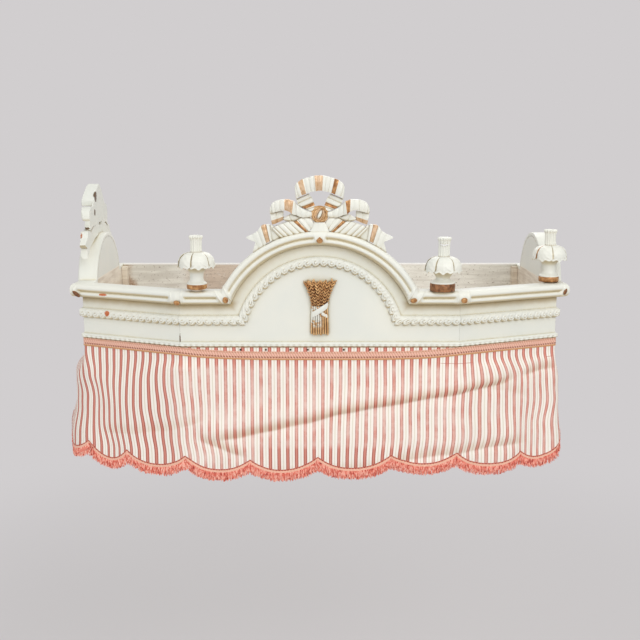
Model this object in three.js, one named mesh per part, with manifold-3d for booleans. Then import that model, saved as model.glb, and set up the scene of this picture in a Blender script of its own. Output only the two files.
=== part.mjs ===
// Bed crown canopy: a painted wooden crown that hangs on a wall over a bed's head, with a cloth valance.
// Millimetres, +Z up. The front faces -Y, and the back board's back face lies in the plane Y = 0,
// with the origin in the middle of that face.
import * as THREE from 'three';
import { mergeVertices } from 'three/addons/utils/BufferGeometryUtils.js';
import Module from 'manifold-3d';

const wasm = await Module();
wasm.setup();

// Driving dimensions of the carcass
const halfWidth = 623.2; // middle to a side panel's outer face
const frontHalfWidth = 352.5; // middle to the fold between front panel and wing
const depth = 534; // wall to the front panel's outer face
const wingDepth = 116.5; // how far a wing runs back
const boardHeight = 182; // rail top to the panels' lower edge
const boardThickness = 26;
const backThickness = 22;
const joint = 0.3; // clearance between pieces that touch
const cornerBlockWidth = 16;
const cornerBlockDepth = 25;
const cornerBlockDrop = 6; // below the back board's top
const glueBlockLeg = 34;
const glueBlockInset = 14; // from the rail and from the lower edge

// Arches, measured on the rail's top line, in heights over the straight rail
const frontArchRise = 149;
const frontShoulder = 106.5; // straight rail between the fold and the arch's foot
const sideArchRise = 114;
const sideFrontShoulder = 57.5;
const sideBackShoulder = 72;
const frontArchSteps = 16;
const sideArchSteps = 12;

// Cap rail: a flange over the panels' top edge, and two reeds in front
const railReach = 27;
const railHeight = 35;
const flangeThickness = 10;
const upperReedRadius = 8.5;
const lowerReedRadius = 7;
const lowerReedSetback = 2.5;
const coveReach = 6;

// Rope and bead mouldings, with their middle lines measured down from the rail top
const ropeDrop = 76.5;
const ropeHeight = 24;
const ropeReach = 12;
const beadDrop = 138.4;
const beadHeight = 13;
const beadReach = 8;

// Ribbon ties on the rail, each with a gilded nub
const tieWidth = 32;
const tieThickness = 2.6;
const crownTieTopDegrees = 40; // how far up the upper reed the arch's own tie goes
const nubDrop = 21.3;
const nubHalfWidth = 7.5;
const nubHalfHeight = 6.5;
const nubReach = 5;
const nubSinkShare = 0.4; // how much of its reach it sinks into the band

// Valance, gimp and fringe
const clothThickness = 2;
const clothTopDrop = 146;
const cuspDrop = 438;
const scallopSag = 27;
const scallopPitch = 167;
const clothColumn = 25; // widest step between two columns of points
const clothWallInset = 6;
const flareLeft = 26;
const flareRight = 9;
const flareFront = 5;
const flareSpread = 170;
const fluteDepth = 3.5;
const foldDepth = 7;
const foldHalfHeight = 9;
const foldLowDrop = 398;
const foldHighDrop = 290;
const foldStart = -300; // along the front, from its middle
const foldEnd = 470;
const foldFade = 60;
const gimpHeight = 21;
const gimpThickness = 2.5;
const gimpDrop = 147.5;
const gimpSag = 10;
const fringeHeight = 30;
const fringeThickness = 5;

// Bows
const bowHalfSpan = 182;
const bowThickness = 10;
const bowSetForward = 8; // from the panel's outer face to the bow's back
const bowHubRadius = 20;
const knotRadius = 22;
const knotDepth = 18;
const knotOverRail = 43.5; // knot's middle above the arch's top
const bowHubDepth = 14;

// Wheat sheaf
const sheafTopDrop = -27; // above the rail's top line
const sheafHeight = 139;
const sheafTopWidth = 86;
const sheafWaistWidth = 45;
const sheafFootWidth = 48;
const sheafReach = 12;
const sheafRibbonWidth = 17;
const sheafRibbonThickness = 2.5;
const sheafRibbonRise = 26;
const sheafRibbonDrop = 48;

// Finials
const finialFromFold = 47.5;
const finialForward = 11; // in front of the panel's outer face
const endFinialBack = 26.5; // behind the end corner, along the side panel
const endFinialInward = 17.2;
const finialHeight = 141;
const neckRadius = 15;
const neckTopRadius = 17.5;
const neckLength = 48;
const neckFlareLength = 16;
const domeRadius = 45;
const domeHeight = 43;
const leafCount = 6;
const leafRelief = 2.5;
const leafDroop = 4;
const waistRadius = 17.6;
const pegRadius = 5;
const pegLength = 22;
const turnedSegments = 24;
const cutOverrun = 1; // how far a cutting solid runs past what it cuts
const leftFinialBase = { bandRadius: 25, bandHeight: 12, footHeight: 6, footRadius: 12, lean: 0 };
const rightFinialBase = { bandRadius: 31, bandHeight: 20, footHeight: 0.5, footRadius: 24, lean: 0.02 };
const endFinialBase = { bandRadius: 26, bandHeight: 14, footHeight: 1.5, footRadius: 20, lean: 0 };

// Colours: sRGB
const paint = { color: 0xe9e7dc, roughness: 0.5, metalness: 0 };
const gilt = { color: 0xb07c45, roughness: 0.4, metalness: 0.6 };
const bareWood = { color: 0xa89a88, roughness: 0.8, metalness: 0 };
const stripedCloth = { color: 0xe0b8ae, roughness: 0.9, metalness: 0 };
const braid = { color: 0xe09a8a, roughness: 0.9, metalness: 0 };
const coralYarn = { color: 0xe07866, roughness: 0.95, metalness: 0 };

const railTop = boardHeight / 2;
const panelTop = flangeThickness + joint; // measured down from the rail top

const part = new THREE.Group();

function addPiece(name, geometry, finish) {
  const mesh = new THREE.Mesh(geometry, new THREE.MeshStandardMaterial(finish));
  mesh.name = name;
  part.add(mesh);
  return mesh;
}

// Closed solids from rings of points

function signedVolume(points, faces) {
  const cross = new THREE.Vector3();
  let volume = 0;
  for (const [a, b, c] of faces) {
    cross.crossVectors(points[b], points[c]);
    volume += points[a].dot(cross);
  }
  return volume;
}

function solidFrom(points, faces) {
  const outward = signedVolume(points, faces) > 0;
  const index = faces.flatMap(([a, b, c]) => (outward ? [a, b, c] : [a, c, b]));
  const geometry = new THREE.BufferGeometry().setFromPoints(points);
  geometry.setIndex(index);
  geometry.computeVertexNormals();
  return geometry;
}

// A solid through rings of equal count. Each end is closed by its own flat outline.
function loft(rings, firstOutline, lastOutline = firstOutline) {
  const count = rings[0].length;
  const points = rings.flat();
  const faces = [];
  for (let ring = 0; ring < rings.length - 1; ring++) {
    for (let spot = 0; spot < count; spot++) {
      const next = (spot + 1) % count;
      const a = ring * count + spot;
      const b = ring * count + next;
      faces.push([a, b, b + count], [a, b + count, a + count]);
    }
  }
  // The sides above run one way round, and each cap is turned to match them.
  const turn = THREE.ShapeUtils.area(firstOutline) > 0 ? 1 : -1;
  const last = (rings.length - 1) * count;
  for (const [a, b, c] of capFaces(firstOutline, turn)) faces.push([c, b, a]);
  for (const [a, b, c] of capFaces(lastOutline, turn)) faces.push([a + last, b + last, c + last]);
  return solidFrom(points, faces);
}

// Faces of a flat outline, all turned the way that the outline's own points run
function capFaces(outline, turn) {
  return THREE.ShapeUtils.triangulateShape(outline, []).map(([a, b, c]) => {
    const [p, q, r] = [outline[a], outline[b], outline[c]];
    const area = (q.x - p.x) * (r.y - p.y) - (r.x - p.x) * (q.y - p.y);
    return area * turn > 0 ? [a, b, c] : [a, c, b];
  });
}

function toManifold(geometry) {
  const bare = geometry.clone();
  bare.deleteAttribute('normal');
  bare.deleteAttribute('uv');
  const merged = mergeVertices(bare);
  const corners = merged.index.array;
  const triVerts = [];
  for (let k = 0; k < corners.length; k += 3) {
    const [a, b, c] = [corners[k], corners[k + 1], corners[k + 2]];
    if (a !== b && b !== c && c !== a) triVerts.push(a, b, c);
  }
  return new wasm.Manifold(
    new wasm.Mesh({
      numProp: 3,
      vertProperties: new Float32Array(merged.attributes.position.array),
      triVerts: new Uint32Array(triVerts),
    }),
  );
}

function fromManifold(solid) {
  const mesh = solid.getMesh();
  const geometry = new THREE.BufferGeometry();
  geometry.setAttribute('position', new THREE.BufferAttribute(mesh.vertProperties, 3));
  geometry.setIndex(new THREE.BufferAttribute(mesh.triVerts, 1));
  geometry.computeVertexNormals();
  return geometry;
}

const joined = (geometries) => fromManifold(geometries.map(toManifold).reduce((a, b) => a.add(b)));
const cutBy = (geometry, cutters) =>
  fromManifold(cutters.map(toManifold).reduce((solid, cutter) => solid.subtract(cutter), toManifold(geometry)));

// The five runs of the plan, from the wall on the left to the wall on the right.
// A place on a run is u along it, n outward from the panels' outer face, and z from the rail top.

const planCorners = [
  [-halfWidth, 0],
  [-halfWidth, wingDepth - depth],
  [-frontHalfWidth, -depth],
  [frontHalfWidth, -depth],
  [halfWidth, wingDepth - depth],
  [halfWidth, 0],
].map(([x, y]) => new THREE.Vector2(x, y));

function makeArch(centre, halfSpan, rise, steps) {
  const radius = (halfSpan ** 2 + rise ** 2) / (2 * rise);
  return { centre, radius, centreZ: rise - radius, steps };
}

const sideLength = depth - wingDepth;
const frontArchHalfSpan = frontHalfWidth - frontShoulder;
const sideArchHalfSpan = (sideLength - sideFrontShoulder - sideBackShoulder) / 2;
const sideArchFromWall = sideBackShoulder + sideArchHalfSpan;
const runNames = ['left_side', 'left_wing', 'front', 'right_wing', 'right_side'];
const runArches = {
  left_side: makeArch(sideArchFromWall, sideArchHalfSpan, sideArchRise, sideArchSteps),
  front: makeArch(frontHalfWidth, frontArchHalfSpan, frontArchRise, frontArchSteps),
  right_side: makeArch(sideLength - sideArchFromWall, sideArchHalfSpan, sideArchRise, sideArchSteps),
};

const runs = runNames.map((name, index) => {
  const from = planCorners[index];
  const to = planCorners[index + 1];
  const along = to.clone().sub(from).normalize();
  const outward = new THREE.Vector2(along.y, -along.x);
  return { name, from, along, outward, length: from.distanceTo(to), arch: runArches[name] };
});
runs.forEach((run, index) => {
  const turnTo = (other) => Math.tan(run.along.angleTo(other.along) / 2);
  run.startLean = index > 0 ? turnTo(runs[index - 1]) : 0;
  run.endLean = index < runs.length - 1 ? turnTo(runs[index + 1]) : 0;
});
const [leftSide, leftWing, front, rightWing, rightSide] = runs;

function place(run, u, n, z) {
  const x = run.from.x + run.along.x * u + run.outward.x * n;
  const y = run.from.y + run.along.y * u + run.outward.y * n;
  return new THREE.Vector3(x, y, railTop + z);
}

const startU = (run, n) => -n * run.startLean + (run.startLean ? joint / 2 : 0);
const endU = (run, n) => run.length + n * run.endLean - (run.endLean ? joint / 2 : 0);

// A line parallel to the rail's top line, h above it. On an arch it is a larger or smaller arc.

function archHalfChord(arch, h) {
  return Math.sqrt((arch.radius + h) ** 2 - (h - arch.centreZ) ** 2);
}

function arcLine(arch, h, gap = 0) {
  const radius = arch.radius + h;
  const half = Math.atan2(archHalfChord(arch, h), h - arch.centreZ) - gap / radius;
  return Array.from({ length: arch.steps + 1 }, (_, step) => {
    const angle = half * ((2 * step) / arch.steps - 1);
    return [arch.centre + radius * Math.sin(angle), arch.centreZ + radius * Math.cos(angle)];
  });
}

const straightLine = (run, n, h) => [[startU(run, n), h], [endU(run, n), h]];

function wholeLine(run, n, h) {
  const [start, end] = straightLine(run, n, h);
  return run.arch ? [start, ...arcLine(run.arch, h), end] : [start, end];
}

// A moulding of one section, as a solid along lines of the run. section holds [n, h] points.
function moulding(run, section, lineOf = wholeLine) {
  const lines = section.map(([n, h]) => lineOf(run, n, h).map(([u, z]) => place(run, u, n, z)));
  const rings = lines[0].map((_, station) => lines.map((line) => line[station]));
  return loft(rings, section.map(([n, h]) => new THREE.Vector2(n, h)));
}

function arcPoints(centreN, centreH, radius, fromDegrees, toDegrees, steps) {
  return Array.from({ length: steps + 1 }, (_, step) => {
    const angle = THREE.MathUtils.degToRad(fromDegrees + ((toDegrees - fromDegrees) * step) / steps);
    return [centreN + radius * Math.cos(angle), centreH + radius * Math.sin(angle)];
  });
}

// Panels, with a top edge under the rail's flange

function panel(run) {
  const outlineAt = (n) => {
    const top = wholeLine(run, n, -panelTop);
    return [...top, [endU(run, n), -boardHeight], [startU(run, n), -boardHeight]];
  };
  const faces = [0, -boardThickness].map((n) => ({ n, outline: outlineAt(n) }));
  const rings = faces.map(({ n, outline }) => outline.map(([u, z]) => place(run, u, n, z)));
  const [outer, inner] = faces.map(({ outline }) => outline.map(([u, z]) => new THREE.Vector2(u, z)));
  return loft(rings, outer, inner);
}

// Vertical blocks of a flat plan outline

function block(planPoints, lowZ, highZ) {
  const ringAt = (z) => planPoints.map(({ x, y }) => new THREE.Vector3(x, y, railTop + z));
  return loft([ringAt(lowZ), ringAt(highZ)], planPoints);
}

const insideX = halfWidth - boardThickness - joint;

function rectangle(lowX, highX, lowY, highY) {
  return [[lowX, lowY], [highX, lowY], [highX, highY], [lowX, highY]].map(([x, y]) => new THREE.Vector2(x, y));
}

function backBoard() {
  return block(rectangle(-insideX, insideX, -backThickness, 0), -boardHeight, 0);
}

function backCornerBlock(side) {
  const wallSide = side * (insideX - joint);
  const openSide = wallSide - side * cornerBlockWidth;
  const backY = -backThickness - joint;
  const [lowX, highX] = [Math.min(wallSide, openSide), Math.max(wallSide, openSide)];
  return block(rectangle(lowX, highX, backY - cornerBlockDepth, backY), -boardHeight, -cornerBlockDrop);
}

// A wedge in the inner corner of two panels that meet at a mitre
function glueBlock(before, after) {
  const n = -boardThickness - joint;
  const planPoint = (run, u) => {
    const { x, y } = place(run, u, n, 0);
    return new THREE.Vector2(x, y);
  };
  const cornerU = before.length + n * before.endLean;
  const corner = planPoint(before, cornerU);
  const one = planPoint(before, cornerU - glueBlockLeg);
  const other = planPoint(after, -n * after.startLean + glueBlockLeg);
  return block([corner, one, other], glueBlockInset - boardHeight, -panelTop - glueBlockInset);
}

// Cap rail

const upperReedN = railReach - upperReedRadius;
const lowerReedN = railReach - lowerReedSetback - lowerReedRadius;
const lowerReedH = -2 * upperReedRadius - lowerReedRadius;
const reeds = (growth, topDegrees = 90) => [
  ...arcPoints(upperReedN, -upperReedRadius, upperReedRadius + growth, topDegrees, -70, 4),
  ...arcPoints(lowerReedN, lowerReedH, lowerReedRadius + growth, 60, -90, 4),
];
const railSection = [
  ...reeds(0),
  [coveReach, -railHeight],
  [joint, -railHeight],
  [joint, -flangeThickness],
  [-boardThickness, -flangeThickness],
  [-boardThickness, 0],
];

const leftOfArch = (run, n, h) => [
  [startU(run, n), h],
  [run.arch.centre - archHalfChord(run.arch, h) - joint / 2, h],
];
const rightOfArch = (run, n, h) => [
  [run.arch.centre + archHalfChord(run.arch, h) + joint / 2, h],
  [endU(run, n), h],
];
const overArch = (run, n, h) => arcLine(run.arch, h, joint / 2);

// Rope and bead mouldings, half round on a flat back

function halfRound(drop, height, reach, steps) {
  const half = height / 2;
  const round = arcPoints(0, 0, 1, 90, -90, steps);
  return round.map(([across, up]) => [joint + reach * across, up * half - drop]);
}

const ropeSection = halfRound(ropeDrop, ropeHeight, ropeReach, 5);
const beadSection = halfRound(beadDrop, beadHeight, beadReach, 4);

// Ribbon ties: a band that follows the rail's nose, with a nub in front

// topDegrees says how far up the upper reed the band goes: 90 is its top
const tieSection = (topDegrees) => [
  ...arcPoints(upperReedN, -upperReedRadius, upperReedRadius + tieThickness, topDegrees, -40, 3),
  ...arcPoints(lowerReedN, lowerReedH, lowerReedRadius + tieThickness, 20, -90, 3),
  ...reeds(joint, topDegrees).reverse(),
];

function nubAt(centre, along, outward) {
  const nub = new THREE.SphereGeometry(1, 10, 6);
  const spots = nub.attributes.position;
  for (let k = 0; k < spots.count; k++) {
    if (spots.getZ(k) < 0) spots.setZ(k, spots.getZ(k) * nubSinkShare);
  }
  const up = new THREE.Vector3().crossVectors(outward, along).normalize();
  const frame = new THREE.Matrix4().makeBasis(
    along.clone().multiplyScalar(nubHalfWidth),
    up.multiplyScalar(nubHalfHeight),
    outward.clone().multiplyScalar(nubReach),
  );
  nub.applyMatrix4(frame);
  nub.translate(centre.x, centre.y, centre.z);
  return nub;
}

const nubN = lowerReedN + lowerReedRadius + tieThickness;

// stations: for each station a function from [n, h] to a point; the middle one carries the nub
function tie(stations, topDegrees = 90) {
  const section = tieSection(topDegrees);
  const rings = stations.map((station) => section.map(([n, h]) => station(n, h)));
  const band = loft(rings, section.map(([n, h]) => new THREE.Vector2(n, h)));
  const middle = stations[(stations.length - 1) / 2];
  const centre = middle(nubN, -nubDrop);
  const outward = middle(nubN, -nubDrop).sub(middle(0, -nubDrop)).setZ(0).normalize();
  const along = new THREE.Vector3(-outward.y, outward.x, 0);
  return joined([band, nubAt(centre, along, outward)]);
}

function cornerTie(before, after) {
  return tie([
    (n, h) => place(before, before.length + n * before.endLean - tieWidth / 2, n, h),
    (n, h) => place(before, before.length + n * before.endLean, n, h),
    (n, h) => place(after, -n * after.startLean + tieWidth / 2, n, h),
  ]);
}

// A point on the arch's own facets, at the distance from one facet corner towards the next
function alongFacet(run, corner, nextCorner, distance) {
  return (n, h) => {
    const line = arcLine(run.arch, h);
    const [from, to] = [line[corner], line[nextCorner]].map(([u, z]) => new THREE.Vector2(u, z));
    const { x, y } = to.sub(from).setLength(distance).add(from);
    return place(run, x, n, y);
  };
}

function footTie(run, side) {
  const { centre, steps } = run.arch;
  const [foot, next] = side < 0 ? [0, 1] : [steps, steps - 1];
  const onStraight = (n, h) => {
    return place(run, centre + side * (archHalfChord(run.arch, h) + tieWidth / 2), n, h);
  };
  return tie([onStraight, alongFacet(run, foot, next, 0), alongFacet(run, foot, next, tieWidth / 2)]);
}

// The tie at the top of the arch stays in front, because the bow stands on the rail there.
function crownTie(run) {
  const top = run.arch.steps / 2;
  const stations = [
    alongFacet(run, top, top - 1, tieWidth / 2),
    alongFacet(run, top, top - 1, 0),
    alongFacet(run, top, top + 1, tieWidth / 2),
  ];
  return tie(stations, crownTieTopDegrees);
}

// Valance cloth. s is the length along the cloth from the middle of the front, to the right.

const frontEnd = front.length / 2;
const wingEnd = frontEnd + leftWing.length;
const sideEnd = wingEnd + leftSide.length - clothWallInset;
const leftCuspShares = [0.04, 1.04, 1.96, 3, 3.69, 4.68, 5.67];
const rightCuspShares = [1.05, 2.03, 3.14, 4.13, 5.13, 6.13];
// Past the last measured cusp, the scallops go on at their pitch as far as the cloth does.
function cuspsOneWay(shares, side) {
  const places = shares.map((share) => share * scallopPitch);
  while (places[places.length - 1] < sideEnd) places.push(places[places.length - 1] + scallopPitch);
  return places.map((s) => side * s);
}

const cusps = [...cuspsOneWay(leftCuspShares, -1).reverse(), ...cuspsOneWay(rightCuspShares, 1)];

function hemDrop(s) {
  const next = cusps.findIndex((cusp) => cusp > s);
  const [from, to] = [cusps[next - 1], cusps[next]];
  const across = (2 * (s - from)) / (to - from) - 1;
  const width = Math.min((to - from) / scallopPitch, 1);
  return cuspDrop + scallopSag * width * (1 - across * across);
}

// The place on the plan for a length s: the run, its u, and how much the mitre stretches n
function onPlan(s) {
  if (Math.abs(s) <= frontEnd) return { run: front, u: s + frontEnd };
  if (s < -wingEnd) return { run: leftSide, u: leftSide.length + s + wingEnd };
  if (s < 0) return { run: leftWing, u: leftWing.length + s + frontEnd };
  if (s <= wingEnd) return { run: rightWing, u: s - frontEnd };
  return { run: rightSide, u: s - wingEnd };
}

function clothPoint(s, n, z) {
  const { run, u } = onPlan(s);
  const atStart = u < joint && run.startLean;
  const atEnd = u > run.length - joint && run.endLean;
  if (atStart) return place(run, -n * run.startLean, n, z);
  if (atEnd) return place(run, run.length + n * run.endLean, n, z);
  return place(run, u, n, z);
}

const bump = (distance, spread) => Math.exp(-((distance / spread) ** 2));

// How far the cloth stands out at its hem
function hemReach(s) {
  const left = flareLeft * bump(s + wingEnd, flareSpread);
  const right = flareRight * bump(s - wingEnd, flareSpread);
  return flareFront + left + right + fluteDepth * Math.cos((2 * Math.PI * s) / scallopPitch);
}

// The long tuck across the front: how deep it is at s, and how far down it lies
function foldShare(s) {
  const into = THREE.MathUtils.smoothstep(s, foldStart, foldStart + foldFade);
  return into * (1 - THREE.MathUtils.smoothstep(s, foldEnd - foldFade, foldEnd));
}

function foldDrop(s) {
  const share = THREE.MathUtils.clamp((s - foldStart) / (foldEnd - foldStart), 0, 1);
  return THREE.MathUtils.lerp(foldLowDrop, foldHighDrop, share);
}

// Rows of the cloth from the top down: the drop and how far its inner face stands out
function clothRows(s) {
  const bottom = hemDrop(s);
  const reach = hemReach(s);
  const fold = foldDepth * foldShare(s);
  const outAt = (drop) => {
    const share = Math.max(drop - boardHeight, 0) / (cuspDrop - boardHeight);
    return joint + reach * share ** 1.5;
  };
  const crease = foldDrop(s);
  const upper = (clothTopDrop + crease) / 2;
  return [
    [clothTopDrop, joint],
    [boardHeight, joint],
    [upper, outAt(upper)],
    [crease - foldHalfHeight, outAt(crease) + fold],
    [crease + foldHalfHeight, outAt(crease)],
    [bottom, outAt(bottom)],
  ];
}

const columnStops = [...cusps, -wingEnd, -frontEnd, frontEnd, wingEnd, -sideEnd, sideEnd]
  .filter((s) => Math.abs(s) <= sideEnd)
  .sort((a, b) => a - b);

function clothColumns() {
  const columns = [columnStops[0]];
  for (let stop = 1; stop < columnStops.length; stop++) {
    const [from, to] = [columnStops[stop - 1], columnStops[stop]];
    const steps = Math.ceil((to - from) / clothColumn);
    for (let step = 1; step <= steps; step++) columns.push(THREE.MathUtils.lerp(from, to, step / steps));
  }
  return columns;
}

function clothStrip(columns, ringOf) {
  const rings = columns.map((s) => ringOf(s).map(([n, drop]) => clothPoint(s, n, -drop)));
  const outlineAt = (s) => ringOf(s).map(([n, drop]) => new THREE.Vector2(n, -drop));
  return loft(rings, outlineAt(columns[0]), outlineAt(columns[columns.length - 1]));
}

function valance() {
  return clothStrip(clothColumns(), (s) => {
    const rows = clothRows(s);
    const outer = rows.map(([drop, n]) => [n + clothThickness, drop]);
    const inner = rows.map(([drop, n]) => [n, drop]).reverse();
    return [...outer, ...inner];
  });
}

function fringe() {
  return clothStrip(clothColumns(), (s) => {
    const [drop, n] = clothRows(s)[clothRows(s).length - 1];
    const [high, low] = [drop + joint, drop + fringeHeight];
    const middle = n + clothThickness / 2;
    const [inner, outer] = [middle - fringeThickness / 2, middle + fringeThickness / 2];
    return [[outer, high], [outer, low], [inner, low], [inner, high]];
  });
}

function gimpTop(s) {
  const share = Math.min(Math.abs(s) / frontEnd, 1);
  return gimpDrop + gimpSag * (1 - share * share);
}

function gimp() {
  const steps = 12;
  const frontStops = Array.from({ length: steps + 1 }, (_, step) => frontEnd * ((2 * step) / steps - 1));
  const stops = [-sideEnd, -wingEnd, ...frontStops, wingEnd, sideEnd];
  return clothStrip(stops, (s) => {
    const inner = joint + clothThickness + joint;
    const outer = inner + gimpThickness;
    const [high, low] = [gimpTop(s), gimpTop(s) + gimpHeight];
    return [[outer, high], [outer, low], [inner, low], [inner, high]];
  });
}

// Ribbon bow. Each strip is a row of stations: upper edge x and z, lower edge x and z, and how far forward.
// All are shares of the bow's half span, from the knot's middle, for the left half.

const topLoopShares = [
  [-0.27, 0.2, -0.19, 0.26, 0.02],
  [-0.33, 0.28, -0.17, 0.27, 0.05],
  [-0.33, 0.35, -0.15, 0.29, 0.08],
  [-0.27, 0.44, -0.13, 0.31, 0.09],
  [-0.15, 0.49, -0.07, 0.32, 0.1],
  [0, 0.51, 0, 0.31, 0.1],
];
const leftStripShares = {
  topReturn: [
    [-0.27, 0.19, -0.19, 0.27, 0.02],
    [-0.21, 0.09, -0.11, 0.22, -0.01],
    [-0.06, 0.01, -0.02, 0.09, 0.02],
  ],
  sideLoop: [
    [-0.05, 0.09, -0.08, -0.03, 0.02],
    [-0.21, 0.15, -0.25, 0.02, 0.04],
    [-0.33, 0.19, -0.34, 0.07, 0.07],
    [-0.46, 0.2, -0.43, 0.08, 0.08],
    [-0.54, 0.19, -0.48, 0.05, 0.07],
    [-0.63, 0.12, -0.51, 0.01, 0.05],
    [-0.68, 0.01, -0.54, -0.03, 0.03],
    [-0.65, -0.13, -0.55, -0.09, 0],
  ],
  sideReturn: [
    [-0.62, -0.05, -0.65, -0.15, 0],
    [-0.48, -0.01, -0.5, -0.12, -0.01],
    [-0.36, 0, -0.36, -0.08, 0],
    [-0.1, 0.04, -0.1, -0.05, 0.02],
  ],
  tailOne: [
    [-0.06, -0.02, -0.05, -0.11, 0.03],
    [-0.22, -0.05, -0.12, -0.19, 0.06],
    [-0.35, -0.08, -0.18, -0.23, 0.08],
  ],
  tailTwo: [
    [-0.34, -0.07, -0.17, -0.22, 0.04],
    [-0.48, -0.14, -0.34, -0.26, 0.06],
    [-0.63, -0.2, -0.53, -0.31, 0.04],
  ],
  tailThree: [
    [-0.6, -0.18, -0.52, -0.29, 0.02],
    [-0.74, -0.17, -0.66, -0.34, 0.06],
    [-0.81, -0.16, -0.71, -0.35, 0.07],
  ],
  tailEnd: [
    [-0.79, -0.16, -0.69, -0.33, 0.04],
    [-0.88, -0.25, -0.75, -0.44, 0.03],
    [-0.98, -0.31, -0.82, -0.48, 0.02],
  ],
};
const fanShares = [
  [-0.05, -0.05, 0.05, -0.05, 0.03],
  [-0.13, -0.24, 0.13, -0.24, 0.06],
];

const mirrored = (rows) => rows.map(([ax, az, bx, bz, out]) => [-ax, az, -bx, bz, out]);

function ribbonStrip(rows, run, centreU, knotZ) {
  const ringOf = ([ax, az, bx, bz, out]) => {
    const frontN = bowSetForward + bowThickness + out * bowHalfSpan;
    const backN = frontN - bowThickness;
    const corner = (x, z, n) => place(run, centreU + x * bowHalfSpan, n, knotZ + z * bowHalfSpan);
    return [corner(ax, az, frontN), corner(bx, bz, frontN), corner(bx, bz, backN), corner(ax, az, backN)];
  };
  return loft(rows.map(ringOf), rectangle(0, 1, 0, 1));
}

const knotSeatN = bowSetForward + bowHubDepth;

// A short round boss standing out from a run's face
function boss(run, u, z, radius, fromN, toN, segments) {
  const cylinder = new THREE.CylinderGeometry(radius, radius, toN - fromN, segments);
  const middle = place(run, u, (fromN + toN) / 2, z);
  const outward = new THREE.Vector3(run.outward.x, run.outward.y, 0);
  cylinder.applyQuaternion(new THREE.Quaternion().setFromUnitVectors(new THREE.Vector3(0, 1, 0), outward));
  cylinder.translate(middle.x, middle.y, middle.z);
  return cylinder;
}

function bow(run) {
  const { centre, radius, centreZ } = run.arch;
  const knotZ = centreZ + radius + knotOverRail;
  const topLoop = [...topLoopShares, ...mirrored(topLoopShares.slice(0, -1)).reverse()];
  const leftStrips = Object.values(leftStripShares);
  const strips = [topLoop, fanShares, ...leftStrips, ...leftStrips.map(mirrored)];
  const hub = boss(run, centre, knotZ, bowHubRadius, bowSetForward, knotSeatN, 16);
  const ribbon = joined([hub, ...strips.map((rows) => ribbonStrip(rows, run, centre, knotZ))]);
  const reach = knotSeatN + knotDepth;
  const railCylinder = boss(run, centre, centreZ, radius + joint, -reach, 2 * reach, 96);
  const knotSeat = boss(run, centre, knotZ, knotRadius + joint, knotSeatN, 2 * reach, 24);
  return cutBy(ribbon, [railCylinder, knotSeat]);
}

function knot(run) {
  const { centre, radius, centreZ } = run.arch;
  const profile = arcPoints(0, 0, 1, -90, 90, 6).map(([r, z]) => new THREE.Vector2(r, z));
  const flatBack = profile.filter(({ y }) => y >= 0);
  const outline = [new THREE.Vector2(0, 0), ...flatBack.slice(0, -1), new THREE.Vector2(0, 1)];
  const turned = new THREE.LatheGeometry(outline, 16);
  turned.scale(knotRadius, knotDepth, knotRadius);
  const outward = new THREE.Vector3(run.outward.x, run.outward.y, 0);
  turned.applyQuaternion(new THREE.Quaternion().setFromUnitVectors(new THREE.Vector3(0, 1, 0), outward));
  const base = place(run, centre, knotSeatN + joint, centreZ + radius + knotOverRail);
  turned.translate(base.x, base.y, base.z);
  return turned;
}

// Wheat sheaf: a fan of ears over a bundle of stalks, round in front and flat behind

const sheafStations = [
  { heightShare: 0, width: sheafFootWidth, reachShare: 0.8 },
  { heightShare: 0.36, width: sheafWaistWidth, reachShare: 0.85 },
  { heightShare: 0.46, width: sheafWaistWidth, reachShare: 0.85 },
  { heightShare: 0.62, width: (2 * sheafWaistWidth + sheafTopWidth) / 3, reachShare: 0.95 },
  { heightShare: 0.85, width: (sheafWaistWidth + 2 * sheafTopWidth) / 3, reachShare: 1 },
  { heightShare: 1, width: sheafTopWidth, reachShare: 0.6 },
];

// A point on the sheaf's front at a height share, turned from its right edge, and out by growth
function sheafPoint(heightShare, degrees, growth) {
  const above = Math.max(sheafStations.findIndex((station) => station.heightShare >= heightShare), 1);
  const [low, high] = [sheafStations[above - 1], sheafStations[above]];
  const share = (heightShare - low.heightShare) / (high.heightShare - low.heightShare);
  const width = THREE.MathUtils.lerp(low.width, high.width, share);
  const reach = THREE.MathUtils.lerp(low.reachShare, high.reachShare, share) * sheafReach;
  const angle = THREE.MathUtils.degToRad(degrees);
  const across = Math.cos(angle) * (width / 2 + growth);
  const n = joint + Math.sin(angle) * (reach + growth);
  return place(front, front.length / 2 + across, n, -sheafTopDrop - sheafHeight * (1 - heightShare));
}

const sheafAngles = Array.from({ length: 9 }, (_, step) => (180 * step) / 8);

function sheaf() {
  const rings = sheafStations.map(({ heightShare }) => {
    return sheafAngles.map((degrees) => sheafPoint(heightShare, degrees, 0));
  });
  return loft(rings, arcPoints(0, 0, 1, 0, 180, 8).map(([x, y]) => new THREE.Vector2(x, y)));
}

// The ribbon climbs across the sheaf's waist, over the stalks.
function sheafRibbon() {
  const middleShare = 1 - (sheafRibbonDrop - sheafTopDrop) / sheafHeight;
  const outside = joint + sheafRibbonThickness;
  const rings = sheafAngles.map((degrees) => {
    const rise = (sheafRibbonRise / 2) * Math.cos(THREE.MathUtils.degToRad(degrees));
    const [low, high] = [-0.5, 0.5].map((side) => middleShare + (rise + side * sheafRibbonWidth) / sheafHeight);
    return [
      sheafPoint(low, degrees, outside),
      sheafPoint(high, degrees, outside),
      sheafPoint(high, degrees, joint),
      sheafPoint(low, degrees, joint),
    ];
  });
  return loft(rings, rectangle(0, 1, 0, 1));
}

// Finials, turned, with carved leaves and a peg below

// Height share from band to dome, and share of the way from the waist's radius to the band's
const waistShares = [[0.1, 0.9], [0.3, 0.2], [0.6, 0], [1, 0.3]];
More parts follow.
